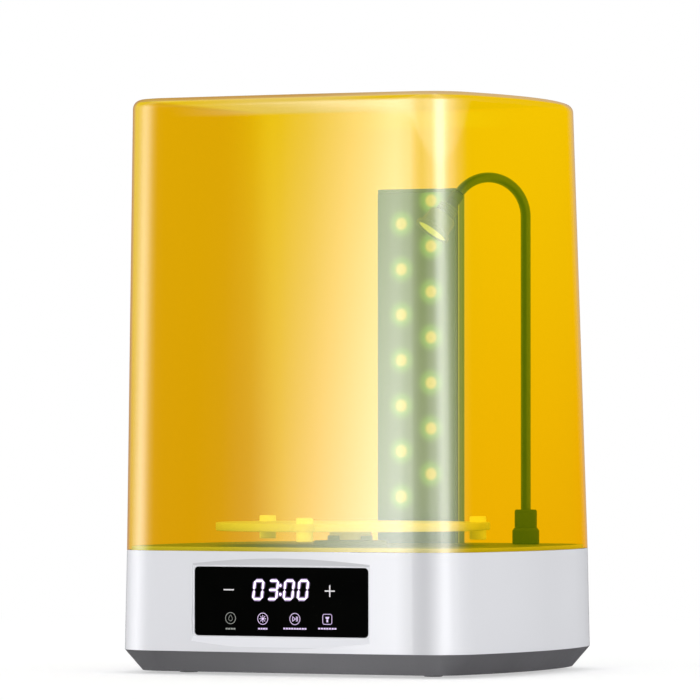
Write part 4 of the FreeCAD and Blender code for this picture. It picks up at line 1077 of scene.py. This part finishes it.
# ---------------------------------------------------------------- gooseneck
LAMP_X = (plug_low.x + plug_high.x) / 2
LAMP_Y = (plug_low.y + plug_high.y) / 2
ARM = Vector((-0.716, -0.698, 0)).normalized()      # the bend leans this way: left and front
ARM_SIDE = ARM.cross(Vector((0, 0, 1))).normalized()
TUBE_RADIUS = 0.0039
TUBE_SEGMENTS = 32
TUBE_START = swivel_low.z + 0.0079
BEND_RADIUS = 0.0304
BEND_START = 0.3534                         # height where the straight run ends
BEND_END = 143.2                            # degrees
LOW_SPLIT, HIGH_SPLIT = 32.0, 106.0         # degrees where the three tubes meet


def bend_point(degrees):
    t = math.radians(degrees)
    return (Vector((LAMP_X, LAMP_Y, 0)) + ARM * (BEND_RADIUS * (1 - math.cos(t)))
            + Vector((0, 0, BEND_START + BEND_RADIUS * math.sin(t))))


def bend_direction(degrees):
    t = math.radians(degrees)
    return ARM * math.sin(t) + Vector((0, 0, math.cos(t)))


def straight_station(z):
    """Point, direction and length along the gooseneck at a height of the straight run."""
    return Vector((LAMP_X, LAMP_Y, z)), Vector((0, 0, 1)), z


def bend_station(degrees):
    """The same at an angle on the bend."""
    length = BEND_START + BEND_RADIUS * math.radians(degrees)
    return bend_point(degrees), bend_direction(degrees), length


def stations(station, start, end, step):
    count = round((end - start) / step)
    return [station(start + (end - start) * i / count) for i in range(count + 1)]


def build_tube(name, path):
    bm = bmesh.new()
    circle = unit_circle(TUBE_SEGMENTS)
    rings = []
    along = []
    for point, direction, length in path:
        across = ARM_SIDE.cross(direction).normalized()
        rings.append(add_ring(bm, [point + (across * c + ARM_SIDE * s) * TUBE_RADIUS
                                   for c, s in circle]))
        along += [length] * TUBE_SEGMENTS
    bridge_all(bm, rings)
    for end, flip in ((0, True), (-1, False)):
        fan(bm, rings[end], bm.verts.new(path[end][0]), flip)
        along.append(path[end][2])
    tube = make_object(name, bm, gooseneck, smooth=50.0)
    attribute = tube.data.attributes.new("along", "FLOAT", "POINT")
    attribute.data.foreach_set("value", along)
    return tube


run = build_tube("gooseneck_run", stations(straight_station, TUBE_START, BEND_START, 0.004)
                 + stations(bend_station, 0.0, LOW_SPLIT, 4.0)[1:])
arch = build_tube("gooseneck_arch", stations(bend_station, LOW_SPLIT, HIGH_SPLIT, 3.5))
drop = build_tube("gooseneck_drop", stations(bend_station, HIGH_SPLIT, BEND_END, 3.5))
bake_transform(run)
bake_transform(arch)
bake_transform(drop)
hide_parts("gooseneck_stem", "gooseneck_lower_bend")
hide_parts("gooseneck_upper_bend")


# ---------------------------------------------------------------- lamp parts
# All profiles: (radius, height along the axis, corner radius).
SWIVEL_RISE = 0.0131                        # swivel flange above the bottom of the plug
PLUG_PROFILE = [
    (0.0, 0.0, 0), (0.0105, 0.0, 0.0011), (0.0105, 0.0106, 0.0006), (0.00875, 0.0130, 0.0003),
    (0.0042, 0.0130, 0.0002), (0.0042, 0.0070, 0), (0.0, 0.0070, 0)]
SWIVEL_PROFILE = [
    (0.0, -0.0059, 0), (0.0041, -0.0059, 0.0004), (0.0041, 0.0, 0.0002), (0.0087, 0.0, 0.0004),
    (0.0087, 0.0126, 0.0010), (0.0079, 0.0139, 0.0008), (0.00392, 0.0139, 0.0002),
    (0.00392, 0.0020, 0), (0.0, 0.0020, 0)]
SLEEVE_PROFILE = [
    (0.0024, 0.0013, 0), (0.0046, 0.0013, 0.0005), (0.0051, 0.0021, 0.0005),
    (0.0051, 0.0075, 0.0001), (0.0048, 0.0078, 0.0001), (0.0048, 0.0084, 0.0001),
    (0.0051, 0.0087, 0.0001), (0.0051, 0.0135, 0.0003), (0.0024, 0.0135, 0)]

# collar with four grooves round it
COLLAR_RADIUS, COLLAR_GROOVE_RADIUS = 0.0082, 0.0074
GROOVE_START, GROOVE_PITCH, GROOVE_COUNT = 0.0142, 0.0018, 4
COLLAR_PROFILE = [(0.0024, 0.0136, 0), (0.0072, 0.0136, 0.0003),
                  (COLLAR_RADIUS, GROOVE_START, 0.0003)]
for i in range(GROOVE_COUNT):
    z = GROOVE_START + i * GROOVE_PITCH
    COLLAR_PROFILE += [
        (COLLAR_RADIUS, z + 0.0009, 0.0002), (COLLAR_GROOVE_RADIUS, z + 0.0011, 0.0001),
        (COLLAR_GROOVE_RADIUS, z + 0.0016, 0.0001), (COLLAR_RADIUS, z + 0.0018, 0.0002)]
GROOVE_END = GROOVE_START + GROOVE_COUNT * GROOVE_PITCH
COLLAR_PROFILE += [(COLLAR_RADIUS, GROOVE_END + 0.0003, 0.0002),
                   (0.0024, GROOVE_END + 0.0003, 0)]

HEAD_LENGTH = 0.0386                        # from the end of the bend to the bell's mouth
BELL_START = GROOVE_END + 0.0004
BELL_PROFILE = [
    (0.0030, BELL_START, 0), (0.0096, BELL_START, 0.0008), (0.0112, BELL_START + 0.0016, 0.0010),
    (0.0122, HEAD_LENGTH - 0.0046, 0.0006), (0.0143, HEAD_LENGTH - 0.0032, 0.0008),
    (0.0146, HEAD_LENGTH - 0.0006, 0.0004), (0.0142, HEAD_LENGTH, 0.0003),
    (0.0126, HEAD_LENGTH, 0.0002), (0.0126, HEAD_LENGTH - 0.0034, 0.0002),
    (0.0104, HEAD_LENGTH - 0.0038, 0.0003), (0.0096, BELL_START + 0.0034, 0.0005),
    (0.0030, BELL_START + 0.0034, 0)]
LENS_PROFILE = [
    (0.0, HEAD_LENGTH - 0.0029, 0), (0.0125, HEAD_LENGTH - 0.0029, 0.0002),
    (0.0125, HEAD_LENGTH - 0.0012, 0.0003), (0.0114, HEAD_LENGTH - 0.0009, 0.0003),
    (0.0060, HEAD_LENGTH - 0.0004, 0), (0.0, HEAD_LENGTH - 0.0003, 0)]

turned_part("lamp_plug_body", "lamp_plug", "lamp_plug_body", PLUG_PROFILE,
            steps=5, origin=(LAMP_X, LAMP_Y, plug_low.z), segments=72, material=lamp_plug)
turned_part("lamp_swivel", "lamp_swivel_collar", "lamp_arm", SWIVEL_PROFILE,
            steps=5, origin=(LAMP_X, LAMP_Y, plug_low.z + SWIVEL_RISE), segments=72,
            material=lamp_plug)
for node, slot, profile, segments, material in (
        ("lamp_sleeve", "part_black", SLEEVE_PROFILE, 72, lamp_sleeve),
        ("lamp_collar", "lamp_grey", COLLAR_PROFILE, 72, lamp_grey),
        ("lamp_bell", "lamp_grey", BELL_PROFILE, 96, lamp_grey),
        ("lamp_lens", "lamp_window", LENS_PROFILE, 96, lamp_lens)):
    turned_part(node + "_v", node, "lamp_head", profile, steps=4,
                origin=bend_point(BEND_END), segments=segments, material=material,
                axis=bend_direction(BEND_END))


# ---------------------------------------------------------------- legends on the control panel
# Centres (x, z) of the marks on the upright plane y = MARK_Y. on_film carries them along
# the camera's line of sight to the film.
MARK_Y = -0.134
DIGITS = (("0", (-0.019837, 0.065252)), ("3", (-0.007440, 0.065387)),
          ("0", (0.006026, 0.065534)), ("0", (0.017940, 0.065663)))
COLON = ((-0.001169, 0.068786), (-0.001169, 0.062124))
MINUS_KEY = (-0.045058, 0.065129)
PLUS_KEY = (0.040509, 0.065004)
WASH_KEY = (-0.043521, 0.043559)
CURE_KEY = (-0.016098, 0.043458)
START_KEY = (0.011099, 0.043584)
LAMP_KEY = (0.038408, 0.043712)
# key, centre, width, finish of the dashed bar under it
KEY_BARS = (
    ("wash", (-0.043521, 0.035502), 0.00875, legend_dim),
    ("cure", (-0.016098, 0.035877), 0.0083333, legend_violet),
    ("start", (0.011099, 0.036249), 0.020, legend_violet),
    ("lamp", (0.038408, 0.036622), 0.0158333, legend_violet),
)
DASH_PITCH, DASH_HALF_HEIGHT = 0.0022, 0.00062
SIGN_STROKE, ICON_STROKE = 0.0009, 0.00045
PRINT_THICKNESS = 0.00006

DIGIT_HEIGHT, DIGIT_WIDTH = 0.0153, 0.0086
SEGMENT_WIDTH = 0.00140
SEGMENT_GAP = 0.00028
DIGIT_SLANT = 0.12
COLON_RADIUS = 0.00088
LIT_SEGMENTS = {"0": "abcdef", "3": "abcdg"}
# name, growth of the segments, distance in front of the film, finish
DIGIT_LAYERS = (
    ("far", 0.00095, 0.00002, digit_halo_far),
    ("near", 0.00042, 0.00006, digit_halo_near),
    ("face", 0.0, 0.00010, digit_face),
)
DIGIT_THICKNESS = 0.00003


def on_film(mark):
    share = (FILM_Y - camera_place.y) / (MARK_Y - camera_place.y)
    return (camera_place.x + (mark[0] - camera_place.x) * share,
            camera_place.z + (mark[1] - camera_place.z) * share)


def flat_piece(name, polygons, material, y=FILM_Y, thickness=PRINT_THICKNESS):
    """Thin closed layer from polygons of (x, z) points, its back at y."""
    bm = bmesh.new()
    for polygon in polygons:
        front = add_ring(bm, [(x, y - thickness, z) for x, z in polygon])
        back = add_ring(bm, [(x, y, z) for x, z in polygon])
        bm.faces.new(front)
        bm.faces.new(list(reversed(back)))
        bridge(bm, back, front)
    piece = make_object(name, bm, material, smooth=None)
    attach(piece, "base")


def circle_line(x, z):
    """Round frame of a key as 40 quads."""
    inner, outer = 0.00405, 0.00450
    spokes = unit_circle(40)
    return [[(x + inner * c0, z + inner * s0), (x + outer * c0, z + outer * s0),
             (x + outer * c1, z + outer * s1), (x + inner * c1, z + inner * s1)]
            for (c0, s0), (c1, s1) in zip(spokes, spokes[1:] + spokes[:1])]


def stroke(points, width, closed=False):
    """Line through points as overlapping quads."""
    quads = []
    for i in range(len(points) if closed else len(points) - 1):
        a, b = Vector(points[i]), Vector(points[(i + 1) % len(points)])
        direction = (b - a).normalized()
        side = Vector((-direction.y, direction.x)) * width / 2
        overlap = direction * width * 0.45
        a, b = a - overlap, b + overlap
        quads.append([tuple(a - side), tuple(b - side), tuple(b + side), tuple(a + side)])
    return quads


def dot(x, z, radius):
    return [(x + radius * c, z + radius * s) for c, s in unit_circle(24)]


def digit(character, x, z, grow):
    """Seven-segment digit; each segment is a slanted, pointed bar."""
    right, top = DIGIT_WIDTH / 2 - SEGMENT_WIDTH / 2, DIGIT_HEIGHT / 2 - SEGMENT_WIDTH / 2
    ends = {"a": ((-right, top), (right, top)), "b": ((right, top), (right, 0)),
            "c": ((right, 0), (right, -top)), "d": ((-right, -top), (right, -top)),
            "e": ((-right, 0), (-right, -top)), "f": ((-right, top), (-right, 0)),
            "g": ((-right, 0), (right, 0))}
    half = SEGMENT_WIDTH / 2 + grow
    gap = SEGMENT_GAP - grow * 0.6
    polygons = []
    for segment in LIT_SEGMENTS[character]:
        a, b = (Vector(end) for end in ends[segment])
        direction = (b - a).normalized()
        side = Vector((-direction.y, direction.x)) * half
        point = direction * half
        a, b = a + direction * gap, b - direction * gap
        outline = (a, a + point - side, b - point - side, b, b - point + side,
                   a + point + side)
        polygons.append([(x + p.x + DIGIT_SLANT * p.y, z + p.y) for p in outline])
    return polygons


def build_digits():
    for name, grow, lift, material in DIGIT_LAYERS:
        polygons = []
        for character, mark in DIGITS:
            polygons += digit(character, *on_film(mark), grow)
        polygons += [dot(*on_film(mark), COLON_RADIUS + grow) for mark in COLON]
        flat_piece(f"timer_digits_{name}", polygons, material, FILM_Y - lift, DIGIT_THICKNESS)


def build_sign_keys():
    x, z = on_film(MINUS_KEY)
    minus = stroke([(x - 0.0040, z), (x + 0.0040, z)], SIGN_STROKE)
    flat_piece("key_minus", minus, legend_white)
    x, z = on_film(PLUS_KEY)
    plus = stroke([(x - 0.0038, z), (x + 0.0038, z)], SIGN_STROKE)
    plus += stroke([(x, z - 0.0040), (x, z + 0.0040)], SIGN_STROKE)
    flat_piece("key_plus", plus, legend_white)


def build_wash_key():
    """Droplet in a circle."""
    x, z = on_film(WASH_KEY)
    radius = 0.0016
    drop_line = []
    for i in range(20):
        t = math.pi * (0.5 + 2 * i / 20)
        across = radius * math.cos(t)
        up = radius * math.sin(t) - 0.0004
        if up > 0:
            # draw the upper half out to a tip
            across *= 1 - up / 0.0024
            up *= 2.0
        drop_line.append((x + across, z + up))
    polygons = circle_line(x, z) + stroke(drop_line, 0.0004, closed=True)
    flat_piece("key_wash", polygons, legend_dim)


def build_cure_key():
    """Dot with eight rays in a circle."""
    x, z = on_film(CURE_KEY)
    polygons = circle_line(x, z) + [dot(x, z, 0.0011)]
    for k in range(8):
        c, s = math.cos(math.pi / 4 * k), math.sin(math.pi / 4 * k)
        ray = [(x + radius * c, z + radius * s) for radius in (0.0016, 0.0026)]
        polygons += stroke(ray, ICON_STROKE)
    flat_piece("key_cure", polygons, legend_violet)


def build_start_key():
    """Triangle and two bars in a circle."""
    x, z = on_film(START_KEY)
    triangle = [(x - 0.0019, z - 0.0017), (x - 0.0019, z + 0.0017), (x + 0.0005, z)]
    polygons = circle_line(x, z) + stroke(triangle, ICON_STROKE, closed=True)
    for offset, half in ((0.0013, 0.0017), (0.0023, 0.0015)):
        polygons += stroke([(x + offset, z - half), (x + offset, z + half)], 0.0005)
    flat_piece("key_start", polygons, legend_violet)


def build_lamp_key():
    """Small lamp in a rounded square."""
    x, z = on_film(LAMP_KEY)
    corner, radius = 0.0024, 0.0014
    frame = []
    for side_x, side_z, start in ((1, -1, -90), (1, 1, 0), (-1, 1, 90), (-1, -1, 180)):
        for k in range(5):
            t = math.radians(start + 22.5 * k)
            frame.append((x + side_x * corner + radius * math.cos(t),
                          z + side_z * corner + radius * math.sin(t)))
    shade = [(-0.0017, 0.0018), (-0.0011, 0.0002), (0.0011, 0.0002), (0.0017, 0.0018)]
    stem = [(-0.0007, -0.0001), (-0.0007, -0.0022), (0.0007, -0.0022), (0.0007, -0.0001)]
    polygons = stroke(frame, ICON_STROKE, closed=True)
    polygons += [[(x + px, z + pz) for px, pz in shape] for shape in (shade, stem)]
    flat_piece("key_lamp", polygons, legend_violet)


def build_key_bars():
    """Dashed bars in place of the words under the keys."""
    for name, mark, width, material in KEY_BARS:
        x, z = on_film(mark)
        count = round(width / DASH_PITCH)
        low, high = z - DASH_HALF_HEIGHT, z + DASH_HALF_HEIGHT
        dashes = []
        for i in range(count):
            start = x - width / 2 + width * (i + 0.12) / count
            end = x - width / 2 + width * (i + 0.88) / count
            dashes.append([(start, low), (end, low), (end, high), (start, high)])
        flat_piece(f"key_bar_{name}", dashes, material)


build_digits()
build_sign_keys()
build_wash_key()
build_cure_key()
build_start_key()
build_lamp_key()
build_key_bars()


# ---------------------------------------------------------------- finishes of the CAD pieces
FINISHES = {
    "base_housing": shell_white, "bottom_tray": plinth_grey, "rubber_feet": rubber,
    "tray_screws": steel, "deck_plate": deck_dark, "deck_screws": steel,
    "control_lens": panel_black, "control_pcb": board_green, "display_module": part_black,
    "panel_leds": led_chip, "board_screws": steel, "main_pcb": board_green,
    "board_components": components, "power_jack": part_black, "power_jack_nut": brass,
    "switch_frame": part_black, "rocker_pin": steel, "turntable_pedestal": hub_grey,
    "spindle_bush": brass, "shaft_seal": rubber, "gear_motor": motor_steel,
    "motor_bracket": steel, "motor_screws": steel, "bracket_screws": steel,
    "tower_housing": tower_grey, "tower_led_board": board_white, "tower_leds": led_chip,
    "lamp_socket": part_black, "lamp_socket_nut": brass, "hood_sensor_board": board_green,
    "motor_cable": lead_black, "panel_cable": lead_grey, "power_cable": lead_black,
    "switch_cable": lead_black, "tower_cable": lead_grey, "lamp_cable": lead_black,
    "hood_magnet": magnet, "output_shaft": steel, "drive_hub": hub_grey,
    "hub_magnets": magnet, "platter_neck": disc_white, "platter_screws": steel,
    "lamp_plug_pin": brass, "lamp_led_board": board_white, "lamp_led": led_chip,
    "power_rocker": part_black, "hood_shell": amber_outer, "turntable_disc": disc_white,
    "rim_posts": post_white, "tower_window": tower_window, "tower_cap": tower_cap,
    "gooseneck_stem": gooseneck, "gooseneck_lower_bend": gooseneck,
    "gooseneck_upper_bend": gooseneck, "lamp_plug": lamp_plug,
    "lamp_swivel_collar": lamp_plug, "lamp_sleeve": lamp_sleeve, "lamp_collar": lamp_grey,
    "lamp_bell": lamp_grey, "lamp_lens": lamp_lens,
}
for name, material in FINISHES.items():
    piece = NODES[name]
    if not piece.material_slots:
        piece.data.materials.append(material)
    for material_slot in piece.material_slots:
        material_slot.link = "OBJECT"
        material_slot.material = material


# ---------------------------------------------------------------- studio
# Reflected strength by azimuth: (degrees from the front, positive to the right; strength).
# Upright cards above the horizon
CARDS_HIGH = [
    (-180, 0.0), (-150, 0.005), (-125, 0.020), (-108, 0.040), (-96, 0.055), (-85, 0.126),
    (-77, 0.215), (-70, 0.240), (-64, 0.216), (-58, 0.165), (-52, 0.095), (-46.5, 0.048),
    (-42, 0.022), (-38, 0.006), (-33.5, 0.0), (-27.2, 0.0), (-26.2, 0.016), (-25.4, 0.036),
    (-24.7, 0.067), (-23.9, 0.105), (-23.2, 0.136), (-22.2, 0.205), (-21.2, 0.292),
    (-20.7, 0.330), (-20.3, 0.320), (-19.6, 0.265), (-13.5, 0.185), (-6.9, 0.128),
    (-0.3, 0.100), (6.1, 0.085), (12.5, 0.110), (18.9, 0.140), (25.2, 0.165), (31.5, 0.300),
    (37.9, 0.505), (44.3, 0.560), (50.7, 0.500), (57.3, 0.295), (63.9, 0.190), (70.7, 0.150),
    (77.7, 0.105), (84.8, 0.062), (92.3, 0.043), (100, 0.020), (108, 0.004), (120, 0.0),
    (180, 0.0)]
# the same cards at and below the horizon
CARDS_LOW = [
    (-180, 0.0), (-150, 0.005), (-125, 0.020), (-108, 0.040), (-96, 0.120), (-85, 0.230),
    (-77, 0.320), (-70, 0.330), (-62, 0.255), (-56, 0.180), (-51, 0.110), (-46.5, 0.065),
    (-42, 0.035), (-38, 0.016), (-34, 0.003), (-30.0, 0.0), (-28.4, 0.018), (-27.6, 0.046),
    (-26.9, 0.080), (-26.2, 0.120), (-25.4, 0.190), (-24.7, 0.253), (-23.9, 0.320),
    (-23.2, 0.395), (-22.2, 0.490), (-21.2, 0.600), (-20.7, 0.640), (-20.3, 0.590),
    (-19.6, 0.480), (-13.5, 0.320), (-6.9, 0.270), (-0.3, 0.245), (6.1, 0.235),
    (12.5, 0.255), (18.9, 0.320), (25.2, 0.370), (31.5, 0.370), (37.9, 0.430), (44.3, 0.570),
    (50.7, 0.625), (57.3, 0.650), (63.9, 0.430), (70.7, 0.290), (77.7, 0.260), (84.8, 0.120),
    (92.3, 0.090), (100, 0.035), (108, 0.014), (120, 0.0), (180, 0.0)]
# softbox overhead
OVERHEAD = [
    (-180, 0.0), (-100, 0.0), (-60, 0.010), (-34, 0.012), (-31.2, 0.022), (-29.2, 0.055),
    (-27.2, 0.125), (-25.7, 0.155), (-23.2, 0.170), (-21.4, 0.140), (-3, 0.100), (28, 0.090),
    (43, 0.060), (60, 0.080), (84, 0.070), (110, 0.040), (143, 0.026), (165, 0.008),
    (180, 0.004)]
CURVE_TOP = 0.70                            # strength at the top of the curve nodes
HEAD_ON_MIRROR = 0.039                      # share the hood reflects head-on


def azimuth_curve(g, degrees, table):
    """Piecewise linear strength over the azimuth."""
    node = g.node("FloatCurve")
    curve = node.mapping.curves[0]
    while len(curve.points) < len(table):
        curve.points.new(0.5, 0.5)
    for point, (azimuth, strength) in zip(curve.points, table):
        point.location = ((azimuth + 180.0) / 360.0, strength / CURVE_TOP)
        point.handle_type = "VECTOR"
    node.mapping.update()
    turn = g.math("DIVIDE", g.math("ADD", degrees, 180.0), 360.0)
    g.feed(node.inputs["Value"], turn)
    return g.product(node.outputs[0], CURVE_TOP)


def build_world():
    """White for the camera; mirrors see a dark studio with cards, the rest an even grey."""
    world = bpy.data.worlds.new("studio")
    bpy.context.scene.world = world
    g = ShaderGraph(world, "OutputWorld")
    x, y, z = g.xyz(g.node("TexCoord").outputs["Generated"])
    degrees = g.product(g.math("ARCTAN2", x, g.product(y, -1.0)), 180.0 / math.pi)
    cards = g.node("Mix", {
        0: g.remap(z, (0.0, 0.072)),
        2: azimuth_curve(g, degrees, CARDS_LOW),
        3: azimuth_curve(g, degrees, CARDS_HIGH),
    }, data_type="FLOAT").outputs[0]
    # the cards fade well above the machine
    cards_fade = g.smooth(z, (0.16, 0.42), to=(1.0, 0.25))
    cards = g.product(g.math("DIVIDE", cards, HEAD_ON_MIRROR), cards_fade)
    softbox = g.product(g.smooth(z, (0.0716, 0.0730)), azimuth_curve(g, degrees, OVERHEAD))
    softbox_fade = g.smooth(z, (0.25, 0.60), to=(1.0, 0.14))
    softbox = g.product(g.math("DIVIDE", softbox, HEAD_ON_MIRROR), softbox_fade)
    total = g.math("ADD", g.math("ADD", cards, softbox), 0.02)
    color = g.node("CombineColor", {0: total, 1: total, 2: g.product(total, 1.02)}).outputs[0]
    mirrored = g.shader("Background", {0: color, 1: 1.0})
    even = g.shader("Background", {0: (0.985, 0.99, 1.0), 1: 0.90})
    backdrop = g.shader("Background", {0: (1, 1, 1), 1: 1.0})
    path = g.node("LightPath").outputs
    # glints from inside the hood see the even light
    near = g.math("LESS_THAN", path["Transparent Depth"], 1.5)
    lighting = g.blend(g.product(path["Is Glossy Ray"], near), even, mirrored)
    g.end(g.blend(path["Is Camera Ray"], lighting, backdrop))
    world.cycles.sampling_method = "MANUAL"
    world.cycles.sample_map_resolution = 256


def set_render():
    view = bpy.context.scene.view_settings
    view.view_transform = "Standard"
    view.look = "None"
    view.exposure = 0.0
    view.gamma = 1.0
    cycles = bpy.context.scene.cycles
    cycles.transparent_max_bounces = 24
    cycles.max_bounces = 8
    cycles.glossy_bounces = 4
    cycles.diffuse_bounces = 3
    cycles.sample_clamp_indirect = 4.0


def build_key_light():
    """Soft disk to the front left, unseen by camera and mirrors."""
    azimuth, elevation, distance = math.radians(-35), math.radians(28), 3.2
    target = Vector((0, 0, 0.15))
    data = bpy.data.lights.new("key", "AREA")
    data.shape = "DISK"
    data.size = 1.8
    data.energy = 2.5
    data.color = (1.0, 0.995, 0.99)
    light = bpy.data.objects.new("key", data)
    bpy.context.scene.collection.objects.link(light)
    place = Vector((math.sin(azimuth) * math.cos(elevation),
                    -math.cos(azimuth) * math.cos(elevation), math.sin(elevation))) * distance
    light.location = place
    light.rotation_euler = (target - place).to_track_quat("-Z", "Y").to_euler()
    light.visible_camera = False
    light.visible_glossy = False
    light.visible_transmission = False


def floor_material():
    """Takes a soft contact shadow near the object, plain white further out."""
    g = new_material("floor_pale")
    length = g.node("VectorMath", {0: g.object_space()}, operation="LENGTH").outputs["Value"]
    far = g.smooth(length, (0.45, 1.5))
    color = g.two_tone(g.noise(3.0, detail=3.0), (0.60, 0.60, 0.60), (0.615, 0.615, 0.615))
    near = g.join(g.shader("BsdfDiffuse", {0: color}),
                  g.shader("Emission", {0: (1, 1, 1), 1: 0.47}))
    white = g.shader("Emission", {0: (1, 1, 1), 1: 1.0})
    return g.end(g.blend(far, near, white))


def build_floor():
    """Large round floor just below the feet, all faces turned up."""
    level = -0.0001
    bm = bmesh.new()
    circle = unit_circle(96)
    rings = [add_ring(bm, [(radius * c, radius * s, level) for c, s in circle])
             for radius in (0.25, 0.5, 0.9, 1.6, 3.0, 6.0, 14.0, 40.0)]
    bm.faces.new(rings[0])
    for inner, outer in zip(rings, rings[1:]):
        bridge(bm, outer, inner)
    floor = make_object("floor", bm, floor_material(), smooth=None, outward=False)
    floor.visible_glossy = False


build_world()
set_render()
build_key_light()
build_floor()
